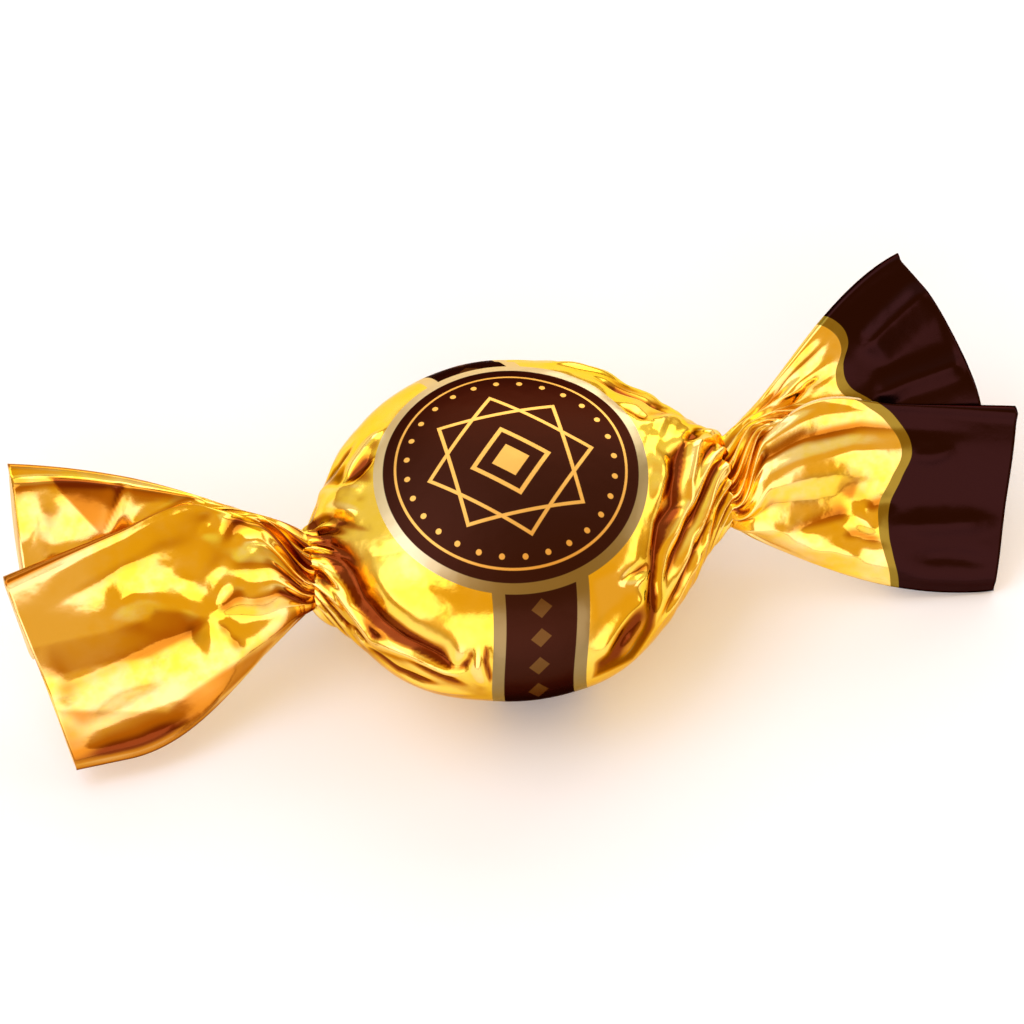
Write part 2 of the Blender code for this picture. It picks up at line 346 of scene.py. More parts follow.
@dataclass(frozen=True)
class Fan:
    """One spread end of the wrapper and the neck that holds it.

    side is -1 for the left end and +1 for the right end. slack is how far the foil stands off the sweet next
    to the neck, and slack_towards is the direction in which it does. spread holds, for the front and the
    back half, the share of the length at which the fan is fully open and the power with which it opens.
    fold_drift is how much nearer the back edge the front panel's fold lies at the neck than at the mouth,
    and fold_at_neck is its share of the way round the neck. The pleats and wrinkles give the range from
    which each one's sizes are drawn, in millimetres along the fan and in shares of the way round it.
    """

    side: int
    neck_x: float
    neck_radius: float
    slack: float
    slack_towards: float
    tilt: float
    spread: tuple[tuple[float, float], tuple[float, float]]
    layers: tuple[Layer, ...]
    ripples: tuple[tuple[int, float, float], ...]
    seed: int
    fold_drift: float = 0.0
    fold_at_neck: float = 0.25
    front_folds: tuple[Fold, ...] = ()
    rear_folds: tuple[Fold, ...] = ()
    # Facets of the front and the rear layer with painted shade or a painted highlight.
    front_painted_light: tuple[PaintedLightPatch, ...] = ()
    rear_painted_light: tuple[PaintedLightPatch, ...] = ()
    twist: float = math.radians(160.0)
    twist_before_neck: float = 12.5
    twist_past_neck: float = 2.5
    fold_from: float = 0.10
    fold_to: float = 0.60
    root_thickness: float = 2.4
    gathered_to: float = 0.15
    edge_room: float = 0.15
    pull_stations: int = 60
    outline_steps: int = 24
    layer_ease: float = 0.012
    swell_rise: float = 1.6
    pleat_depth: float = 1.0
    pleat_grid: int = 64
    pleat_widths: tuple[int, ...] = (3, 4, 5, 6)
    pleat_crest: tuple[float, float] = (0.35, 0.65)
    pleat_over_sweet: tuple[float, float] = (4.0, 13.0)
    pleat_over_fan: tuple[float, float] = (9.0, 25.0)
    pleat_height: tuple[float, float] = (0.6, 1.0)
    pleat_top: float = 0.55
    pleat_foot: float = -0.225
    wrinkle_count: int = 24
    wrinkle_shift: tuple[float, float] = (-0.4, 0.4)
    wrinkle_width: tuple[float, float] = (0.010, 0.022)
    wrinkle_height: tuple[float, float] = (0.15, 0.38)
    wrinkle_middle: tuple[float, float] = (-2.0, 2.0)
    wrinkle_length: tuple[float, float] = (2.0, 5.5)
    wrinkle_sway: tuple[float, float] = (-0.02, 0.02)

    @property
    def length(self) -> float:
        """Length of the fan's longest edge, from the neck."""
        return max(max(layer.along) for layer in self.layers)

    def material_angle(self, columns: np.ndarray, x: np.ndarray) -> np.ndarray:
        """Direction of each column of the foil in the section at x, twisted until just past the neck."""
        share = (x - self.neck_x + self.twist_before_neck) / (self.twist_before_neck + self.twist_past_neck)
        return math.pi - 2.0 * math.pi * columns + self.twist * (1.0 - smooth_step(share))

    def foil_distance(self, dome: Dome, x: np.ndarray, angle: np.ndarray) -> np.ndarray:
        """Measures from the lengthwise axis to the foil, which runs straight from the sweet to the neck.

        Args:
            dome: the sweet under the foil.
            x: distances from the middle of the sweet, as a column.
            angle: directions, a row for each x.

        Returns:
            The distance for each direction.
        """
        fine = np.linspace(0.0, 2.0 * math.pi, 361)
        stations = np.linspace(0.0, dome.radius, self.pull_stations)[:, None]
        slopes = (dome.distance(stations, fine[None, :]) - self.neck_radius) / (self.neck_x - stations)
        leaves = stations[np.argmax(slopes, axis=0), 0]
        turned = angle % (2.0 * math.pi)
        slope = np.interp(turned, fine, slopes.max(axis=0))
        leave = np.interp(turned, fine, leaves)
        drawn = np.where(x > leave, self.neck_radius + slope * (self.neck_x - x), dome.distance(x, angle))
        towards = np.clip(np.cos(angle - self.slack_towards), 0.0, 1.0)
        return drawn + self.slack * (smooth_step(2.0 * x / self.neck_x - 0.5) * towards)

    def mouth_outline(self, columns: np.ndarray) -> list[np.ndarray]:
        """Walks round the fan's mouth: its layers joined by half-round folds.

        Args:
            columns: shares of the way round.

        Returns:
            across, level and along for each column.
        """
        turns = math.pi * np.arange(self.outline_steps) / self.outline_steps
        runs = []
        for layer, following in zip(self.layers, self.layers[1:] + self.layers[:1]):
            gap = following.level[0] - layer.level[1]
            outward = math.copysign(0.5 * gap, layer.across[1] - layer.across[0])
            fold = [
                layer.across[1] + outward * np.sin(turns),
                layer.level[1] + 0.5 * gap * (1.0 - np.cos(turns)),
                layer.along[1] + (following.along[0] - layer.along[1]) * turns / math.pi,
            ]
            runs += [layer.points(self.outline_steps), np.stack(fold, axis=-1)]
        outline = np.concatenate(runs + [runs[0][:1]])
        run = np.concatenate([[0.0], np.cumsum(np.hypot(*np.diff(outline[:, :2], axis=0).T))])
        return [np.interp(columns, run / run[-1], outline[:, axis]) for axis in range(3)]

    def layer_shares(self) -> list[tuple[float, float]]:
        """Measures the layers round the mouth.

        Returns:
            Where each layer starts and ends, as shares of the way round.
        """
        lengths, gaps = [], []
        for layer, following in zip(self.layers, self.layers[1:] + self.layers[:1]):
            end = [[layer.across[1], layer.level[1], layer.along[1]]]
            walk = np.concatenate([layer.points(self.outline_steps), end])
            lengths.append(np.hypot(*np.diff(walk[:, :2], axis=0).T).sum())
            gaps.append(0.5 * math.pi * abs(following.level[0] - layer.level[1]))
        starts = np.concatenate([[0.0], np.cumsum(np.add(lengths, gaps))])
        whole = starts[-1]
        return [(start / whole, (start + length) / whole) for start, length in zip(starts, lengths)]

    def layer_mask(self, index: int, columns: np.ndarray) -> np.ndarray:
        """Masks the columns of one layer, eased over its ends.

        Args:
            index: which layer.
            columns: shares of the way round.

        Returns:
            The mask, from 0 to 1, for each column.
        """
        start, end = self.layer_shares()[index]
        ease = self.layer_ease
        return smooth_step((columns - start) / ease) * smooth_step((end - columns) / ease)

    def opening(self, half: int, shares: np.ndarray) -> np.ndarray:
        """Tells how far one half of the fan has opened.

        Args:
            half: 0 for the front half and 1 for the back half.
            shares: shares of the way from the neck to the mouth.

        Returns:
            The share of the mouth's width at each of them.
        """
        full_at, power = self.spread[half]
        root = self.neck_radius / abs(self.layers[2 * half].across[half])
        rise = np.sin(0.5 * math.pi * np.clip(shares / full_at, 0.0, 1.0) ** power)
        whole = math.sin(0.5 * math.pi * min(1.0, 1.0 / full_at) ** power)
        return root + (1.0 - root) * rise / whole

    def plane_points(
        self, columns: np.ndarray, shares: np.ndarray
    ) -> tuple[np.ndarray, np.ndarray, np.ndarray]:
        """Places the fan's smooth surface in its own plane.

        Args:
            columns: shares of the way round.
            shares: shares of the way from the neck to the mouth.

        Returns:
            along, across and level, a row for each share.
        """
        across, level, along = self.mouth_outline(columns)
        share = shares[:, None]
        (front_start, front_end), (_, hidden_end), (_, rear_end) = self.layer_shares()[:3]
        at_mouth = (0.0, front_start, front_end, hidden_end, rear_end, 1.0)
        at_neck = (0.0, 0.0, self.fold_at_neck, self.fold_at_neck + 0.03, 0.5, 1.0)
        gathered = np.interp(columns, at_mouth, at_neck)
        packed = columns + (gathered - columns) * smooth_step(share / self.gathered_to)
        turn = self.material_angle(packed, self.neck_x + share * self.length)
        halves = [abs(self.layers[2 * half].across[half]) for half in (0, 1)]
        opened = [self.opening(half, share) for half in (0, 1)]
        fan_across = across * np.where(across < 0.0, opened[0], opened[1])
        reach = np.where(np.cos(turn) < 0.0, halves[0] * opened[0], halves[1] * opened[1])
        thinner = (self.root_thickness - self.neck_radius) * smooth_step(share / self.fold_to)
        folded = smooth_step((share - self.fold_from) / (self.fold_to - self.fold_from))
        near_fold = np.interp(columns, (front_start, front_end, hidden_end), (0.0, 1.0, 0.0))[None, :]
        drift = self.fold_drift * (1.0 - share) * near_fold
        back_edge = halves[1] * opened[1]
        fan_across = np.minimum(fan_across + drift, np.maximum(back_edge - self.edge_room, fan_across))
        ring_across = reach * np.cos(turn) * (1.0 - folded) + fan_across * folded
        ring_level = (self.neck_radius + thinner) * np.sin(turn) * (1.0 - folded) + level * folded
        return along * share, ring_across, ring_level

    def place(self, waist: float, along: np.ndarray, across: np.ndarray, level: np.ndarray) -> np.ndarray:
        """Turns points of the fan's plane into points beside the sweet.

        Args:
            waist: height of the sweet's lengthwise axis.
            along: distances from the neck.
            across: positions across the fan.
            level: heights over the fan's plane.

        Returns:
            The points, still on the +X side.
        """
        cos, sin = math.cos(self.tilt), math.sin(self.tilt)
        depth = across * cos - level * sin
        height = waist + across * sin + level * cos
        return np.stack([self.neck_x + along, depth, height], axis=-1)

    def pleats(self, columns: np.ndarray, from_neck: np.ndarray) -> np.ndarray:
        """Raises the gathered pleats that run through the neck.

        Args:
            columns: shares of the way round, for each place or for each column.
            from_neck: distances from the neck, negative over the sweet, as a column.

        Returns:
            Heights over the smooth foil at each place.
        """
        draw = random.Random(self.seed)
        pleats = []
        start = 0
        while start < self.pleat_grid:
            width = min(draw.choice(self.pleat_widths), self.pleat_grid - start)
            crest = start + width * draw.uniform(*self.pleat_crest)
            over_sweet = draw.uniform(*self.pleat_over_sweet)
            over_fan = draw.uniform(*self.pleat_over_fan)
            length = np.where(from_neck < 0.0, over_sweet, over_fan)
            height = self.pleat_depth * draw.uniform(*self.pleat_height)
            height = height * smooth_step(1.0 - np.abs(from_neck) / length)
            pleats.append((start, crest, start + width, height))
            start += width
        relief = np.zeros(np.broadcast(columns, from_neck).shape)
        place = columns * self.pleat_grid
        for index, (start, crest, end, height) in enumerate(pleats):
            before = self.pleat_foot * (height + pleats[index - 1][3])
            after = self.pleat_foot * (height + pleats[(index + 1) % len(pleats)][3])
            top = self.pleat_top * height
            rising = before + (top - before) * (place - start) / (crest - start)
            falling = top + (after - top) * (place - crest) / (end - crest)
            relief = np.where((place >= start) & (place < crest), rising, relief)
            relief = np.where((place >= crest) & (place < end), falling, relief)
        return relief

    def wrinkles(self, columns: np.ndarray, from_neck: np.ndarray) -> np.ndarray:
        """Raises the small sharp wrinkles between the pleats, which die out soon after the neck.

        Args:
            columns: shares of the way round, for each place or for each column.
            from_neck: distances from the neck, negative over the sweet, as a column.

        Returns:
            Heights over the smooth foil at each place.
        """
        draw = random.Random(self.seed + 100)
        relief = np.zeros(np.broadcast(columns, from_neck).shape)
        for index in range(self.wrinkle_count):
            middle = (index + draw.uniform(*self.wrinkle_shift)) / self.wrinkle_count
            half_width = draw.uniform(*self.wrinkle_width)
            height = draw.choice((-1.0, 1.0)) * draw.uniform(*self.wrinkle_height)
            centre = draw.uniform(*self.wrinkle_middle)
            length = draw.uniform(*self.wrinkle_length)
            sway = draw.uniform(*self.wrinkle_sway)
            away = np.abs((columns - middle - sway * from_neck / length + 0.5) % 1.0 - 0.5)
            ridge = np.clip(1.0 - away / half_width, 0.0, 1.0)
            relief += height * ridge * smooth_step(1.0 - np.abs(from_neck - centre) / length)
        return relief

    def swells(self, columns: np.ndarray, shares: np.ndarray) -> np.ndarray:
        """Raises the long soft waves that run from the neck to the mouth.

        Args:
            columns: shares of the way round.
            shares: shares of the way from the neck to the mouth.

        Returns:
            Heights over the smooth foil, a row for each share.
        """
        relief = np.zeros((len(shares), len(columns)))
        for waves, height, phase in self.ripples:
            relief += height * np.sin(2.0 * math.pi * waves * columns + phase)[None, :]
        return relief * smooth_step(np.clip(shares, 0.0, 1.0) * self.swell_rise)[:, None]


LEFT_FAN = Fan(
    side=-1,
    neck_x=18.4,
    neck_radius=3.1,
    slack=0.9,
    slack_towards=math.radians(215.0),
    tilt=math.radians(31.0),
    spread=((0.80, 1.15), (1.60, 0.85)),
    layers=(
        Layer(across=(-13.1, 3.9), level=(0.3, 3.3), along=(23.9, 26.9), bow=0.6),
        Layer(across=(3.9, -2.4), level=(1.8, 1.5), along=(26.9, 26.0)),
        Layer(across=(-2.4, 13.9), level=(0.4, 0.6), along=(25.4, 24.3), bow=0.4),
        Layer(across=(13.9, -13.1), level=(-0.7, -0.1), along=(24.3, 23.9), bow=-1.5, bulge=1.0),
    ),
    ripples=((3, 0.30, 0.4), (7, 0.22, 2.1)),
    seed=5,
    fold_drift=8.2,
    fold_at_neck=0.43,
    front_folds=(
        Fold(((9.4, -2.6), (17.0, -4.6), (25.8, -6.6)), 0.75, (4.6, 4.0), 0.16),
        Fold(((8.0, 4.6), (13.0, 4.4), (24.5, 0.9)), 0.60, (3.4, 3.2)),
        Fold(((9.4, -2.6), (12.5, -0.6), (16.1, 1.0), (19.0, -1.0)), -0.55, (2.4, 3.2), 0.25),
        Fold(((7.5, -6.0), (13.0, -8.6), (24.5, -10.6)), -0.50, (2.4, 3.4)),
        Fold(((12.5, -10.6), (18.0, -11.6), (24.0, -12.0)), 0.35, (1.2, 1.6)),
        Fold(((9.4, -2.6), (7.6, -1.2), (5.6, -0.6)), 0.38, (1.5, 1.2)),
        Fold(((9.4, -2.6), (7.0, -3.2), (4.4, -3.6)), -0.36, (1.4, 1.6)),
        Fold(((9.4, -2.6), (8.4, -4.4), (7.4, -6.4)), 0.40, (1.4, 1.4)),
        Fold(((9.4, -2.6), (8.4, 0.2), (6.9, 2.4)), -0.34, (1.5, 1.5)),
        Fold(((4.6, 6.2), (5.9, 4.9), (7.6, 3.4)), 0.34, (0.9, 1.1)),
        Fold(((3.8, 4.6), (5.2, 3.2), (6.8, 1.6)), -0.34, (1.0, 1.0)),
        Fold(((6.4, 6.6), (7.8, 5.4), (9.4, 4.6)), -0.30, (0.9, 1.1)),
    ),
    rear_folds=(
        Fold(((16.8, 5.8), (15.7, 8.8), (14.2, 11.8)), 0.30, (1.2, 0.9), 0.1),
        Fold(((23.4, 4.0), (21.8, 8.4), (22.0, 11.2)), 0.30, (1.6, 1.8)),
        Fold(((25.2, 5.6), (23.4, 8.6), (23.4, 12.0)), -0.22, (1.0, 1.2)),
        Fold(((7.0, 9.6), (16.0, 11.6), (25.4, 12.4)), 0.90, (1.2, 5.6), 0.08),
        Fold(((15.5, 6.4), (12.0, 7.4), (8.5, 8.3)), 0.35, (0.8, 0.9)),
    ),
    # Painted shade on facets of the front and rear panels.
    front_painted_light=(
        PaintedLightPatch(
            (
                (9.4, -2.5), (14.4, -0.9), (15.2, -1.6), (19.0, -1.9), (23.1, -1.9),
                (25.8, -2.0), (25.7, -4.9), (18.7, -4.6), (15.6, -4.9), (9.8, -3.0),
            ),
            0.25,
            0.3,
        ),
        PaintedLightPatch(
            (
                (24.7, -7.7), (15.0, -9.9), (12.8, -8.7), (10.7, -7.8), (4.8, -5.6),
                (7.7, -8.6), (13.7, -12.1), (18.3, -13.5), (24.1, -13.9),
            ),
            0.44,
            0.35,
        ),
        PaintedLightPatch(((8.5, 9.7), (3.6, 4.9), (8.3, 2.2), (13.4, 5.6), (16.8, 6.7)), 0.22, 2.0),
    ),
    rear_painted_light=(
        PaintedLightPatch(
            ((24.9, 14.7), (20.9, 12.4), (20.4, 11.1), (17.5, 6.4), (16.9, 7.1), (14.3, 11.1), (14.4, 12.2)),
            0.6,
            0.2,
        ),
        PaintedLightPatch(((13.8, 11.3), (9.3, 9.2), (9.0, 8.0), (12.5, 8.3), (14.6, 8.6)), 0.4, 0.35),
        PaintedLightPatch(((25.8, 12.8), (16.0, 11.9), (8.0, 9.9), (8.0, 11.5), (16.0, 14.5), (25.8, 15.6)), 0.45, 0.3),
    ),
)

RIGHT_FAN = Fan(
    side=1,
    neck_x=19.8,
    neck_radius=3.5,
    slack=1.1,
    slack_towards=math.radians(60.0),
    tilt=math.radians(37.0),
    spread=((1.15, 0.85), (1.15, 1.20)),
    layers=(
        Layer(across=(-14.3, 0.9), level=(0.3, 3.1), along=(22.3, 27.0), bow=0.5),
        Layer(across=(0.9, -4.0), level=(1.6, 1.3), along=(27.0, 25.0)),
        Layer(across=(-4.0, 16.4), level=(0.2, 0.7), along=(23.6, 19.6), bow=1.1, bulge=2.1),
        Layer(across=(16.4, -14.3), level=(-0.7, -0.1), along=(19.6, 22.3), bow=-1.5, bulge=1.6),
    ),
    ripples=((3, 0.30, 1.9), (8, 0.20, 0.3)),
    seed=11,
    fold_drift=8.0,
    fold_at_neck=0.37,
    front_folds=(
        Fold(((2.4, 1.2), (7.5, 2.6), (12.7, 2.7), (24.0, -0.4)), -0.32, (1.2, 1.5)),
        Fold(((1.5, -0.6), (6.0, 0.6), (11.5, 0.8), (18.0, -0.6)), 0.62, (1.6, 3.8)),
        Fold(((2.0, -3.8), (5.0, -5.4), (9.5, -4.9), (13.0, -3.8)), -0.50, (2.2, 1.6)),
        Fold(((9.8, -3.2), (11.2, -5.2), (12.6, -7.6)), 0.40, (1.6, 1.3)),
        Fold(((11.0, -5.2), (13.2, -4.6), (15.5, -4.6)), -0.32, (1.0, 1.2)),
        Fold(((8.0, -6.4), (10.8, -6.8), (14.0, -8.6)), -0.40, (1.2, 1.2)),
        Fold(((5.4, -7.2), (8.2, -7.6), (11.4, -9.2)), 0.42, (1.2, 1.2)),
        Fold(((5.8, -9.0), (10.0, -10.2), (16.5, -12.6)), -0.34, (0.9, 1.2)),
        Fold(((13.0, -6.6), (18.0, -7.6), (24.6, -8.6)), 0.45, (2.0, 1.4)),
        Fold(((14.0, -9.6), (19.0, -10.6), (23.6, -12.2)), -0.35, (1.2, 1.2)),
        Fold(((16.0, -0.9), (18.6, -1.5), (21.5, -1.2)), 0.30, (1.0, 0.7)),
    ),
    # Painted shade on facets of the front panel.
    front_painted_light=(
        PaintedLightPatch(((10.6, -0.2), (12.4, -1.3), (10.8, -3.7), (9.5, -2.6)), 0.35, 0.3),
        PaintedLightPatch(((1.8, 1.2), (4.3, 3.0), (8.5, 3.7), (7.2, 2.8), (3.8, 1.7), (2.2, 0.0)), 0.45, 0.5),
    ),
    rear_folds=(
        Fold(((14.0, 8.8), (17.6, 11.2), (22.0, 13.8)), 0.70, (1.6, 2.6), 0.2),
        Fold(((14.0, 4.8), (18.0, 5.6), (24.2, 6.4)), 0.60, (2.2, 1.4), 0.2),
        Fold(((2.5, 4.0), (7.0, 7.8), (13.0, 11.6)), -0.35, (1.2, 1.4)),
        Fold(((3.5, 4.2), (8.0, 7.4), (12.6, 9.4)), 0.32, (0.9, 1.1)),
        Fold(((4.0, 3.6), (8.4, 6.6), (12.6, 8.2)), -0.2, (0.7, 0.8)),
        Fold(((11.0, 12.6), (16.0, 15.0), (20.0, 16.8)), -0.35, (0.9, 0.9)),
        Fold(((22.0, 12.2), (23.4, 8.0), (24.0, 3.6)), -0.30, (0.8, 1.0)),
    ),
)


def outward_normals(points: np.ndarray) -> np.ndarray:
    """Finds unit normals of a grid whose columns close on themselves.

    Args:
        points: the grid, its rows running along +X.

    Returns:
        The outward normal at each point.
    """
    along = np.gradient(points, axis=0)
    around = np.roll(points, -1, axis=1) - np.roll(points, 1, axis=1)
    normals = np.cross(along, around)
    return normals / np.maximum(np.linalg.norm(normals, axis=-1, keepdims=True), 1e-12)


def soften(relief: np.ndarray) -> np.ndarray:
    """Rounds the relief's creases a little, so that none is sharper than the grid can show.

    Args:
        relief: heights, a row for each section.

    Returns:
        The rounded heights.
    """
    for _ in range(2):
        around = 0.25 * (np.roll(relief, 1, axis=1) + np.roll(relief, -1, axis=1)) + 0.5 * relief
        padded = np.concatenate([around[:1], around, around[-1:]])
        relief = 0.25 * (padded[:-2] + padded[2:]) + 0.5 * around
    return relief


def hollowness(points: np.ndarray, reach: np.ndarray) -> np.ndarray:
    """Tells creases from ridges for the painted shade and highlights: over 0 in hollows and under 0 on crests.

    Args:
        points: the finished grid.
        reach: height of the crease that counts as fully hollow, for each row.

    Returns:
        A value from -1 to 1 for each point.
    """
    normals = outward_normals(points)
    bend = np.zeros(points.shape[:2])
    for step, weight in CREASE_SCALES:
        padded = np.concatenate([points[:1]] * step + [points] + [points[-1:]] * step)
        mean = 0.25 * (
            np.roll(points, step, axis=1)
            + np.roll(points, -step, axis=1)
            + padded[: -2 * step]
            + padded[2 * step :]
        )
        bend += weight * np.einsum("ijk,ijk->ij", mean - points, normals)
    return np.clip(bend / reach[:, None], -1.0, 1.0)


class Sheet:
    """A piece of foil: a flat grid that is wrapped into place, one row for each section along the sweet.

    A crease of the height CREASE gets the full painted shade at a neck. BESIDE_NECK and ON_FAN hold how much
    deeper it has to be away from the neck and out on a fan, and over which distance that is reached.
    """

    CREASE: ClassVar[float] = 0.16
    BESIDE_NECK: ClassVar[tuple[float, float]] = (0.20, 6.0)
    ON_FAN: ClassVar[tuple[float, float]] = (0.35, 9.0)

    def __init__(
        self,
        name: str,
        points: np.ndarray,
        along: np.ndarray,
        from_neck: np.ndarray,
        shade: np.ndarray,
        facing: int,
    ) -> None:
        """Wraps a grid onto the given points.

        Args:
            name: name of the piece.
            points: where the grid's points go, in millimetres, rows along the sweet.
            along: the rows' positions along the sheet, for its UV map.
            from_neck: the rows' distances from the nearest neck.
            shade: the shade painted for the designed folds and facets at each point, under 0 where a highlight
                is painted.
            facing: 1 where the rows run along +X and -1 where they run along -X.
        """
        self.name = name
        self.points = points
        self.along = along
        self.facing = facing
        reach = self.CREASE + self.BESIDE_NECK[0] * smooth_step(np.abs(from_neck) / self.BESIDE_NECK[1])
        reach = reach + self.ON_FAN[0] * smooth_step(from_neck / self.ON_FAN[1])
        # Painted shade in creases and painted highlight on crests, kept per point for the foil's colour.
        self.painted_shading = np.clip(hollowness(points, reach) + shade, -1.0, 1.0)

    def build(self, wall: float, inner_material: int) -> bpy.types.Object:
        """Makes the piece's object.

        Args:
            wall: thickness of the foil, or 0 for a closed skin.
            inner_material: how much further the inner side's material is in the piece's list.

        Returns:
            The finished object.
        """
        rows, columns = self.points.shape[:2]
        sheet = bmesh.new()
        bmesh.ops.create_grid(sheet, x_segments=rows - 1, y_segments=columns, size=0.5)
        data = bpy.data.meshes.new(self.name)
        sheet.to_mesh(data)
        sheet.free()
        flat = np.empty(len(data.vertices) * 3)
        data.vertices.foreach_get("co", flat)
        flat = flat.reshape(-1, 3)
        row = np.rint((flat[:, 0] + 0.5) * (rows - 1)).astype(int)
        column = np.rint((flat[:, 1] + 0.5) * columns).astype(int)
        placed = self.points[row, column % columns] * MM
        data.vertices.foreach_set("co", placed.ravel())
        self._map(data, row, column, columns)
        self._mark(data, "painted_shading", self.painted_shading[row, column % columns])
        self._close_seam(data)
        data.shade_smooth()
        piece = bpy.data.objects.new(self.name, data)
        bpy.context.scene.collection.objects.link(piece)
        if wall > 0.0:
            solidify = piece.modifiers.new("foil thickness", "SOLIDIFY")
            solidify.thickness = wall * MM
            solidify.offset = -1.0
            solidify.material_offset = inner_material
        return piece

    def _map(self, data: bpy.types.Mesh, row: np.ndarray, column: np.ndarray, columns: int) -> None:
        """Lays the UV map: U along the sheet in centimetres and V around it as a share.

        Args:
            data: the sheet's mesh.
            row: row of each point in the grid.
            column: column of each point in the grid.
            columns: number of columns.
        """
        corners = np.empty(len(data.loops), dtype=np.int32)
        data.loops.foreach_get("vertex_index", corners)
        layer = data.uv_layers.new(name="foil")
        uv = np.stack([self.along[row[corners]] * 0.1, column[corners] / columns], axis=-1)
        layer.data.foreach_set("uv", uv.ravel())

    @staticmethod
    def _mark(data: bpy.types.Mesh, name: str, values: np.ndarray) -> None:
        """Stores a value for each point."""
        attribute = data.attributes.new(name, "FLOAT", "POINT")
        attribute.data.foreach_set("value", values.astype(np.float32))

    def _close_seam(self, data: bpy.types.Mesh) -> None:
        """Joins the sheet's two long edges and turns its faces outwards.

        Args:
            data: the sheet's mesh.
        """
        seam = bmesh.new()
        seam.from_mesh(data)
        edge = [vert for vert in seam.verts if vert.is_boundary]
        bmesh.ops.remove_doubles(seam, verts=edge, dist=1e-7)
        if self.facing < 0:
            bmesh.ops.reverse_faces(seam, faces=seam.faces)
        seam.to_mesh(data)
        seam.free()


@dataclass(frozen=True)
class Disc:
    """The printed disc on the crown, its champagne ring, and the band that goes round the body under it."""

    radius: float = 12.15
    ring: float = 0.85
    centre: tuple[float, float] = (0.22, 0.5)
    stretch: float = 1.035
    band_half_width: float = 4.35
    band_edge: float = 1.15
    band_shift: float = 0.3
    band_drift: float = 2.0
    lowest: float = 10.5


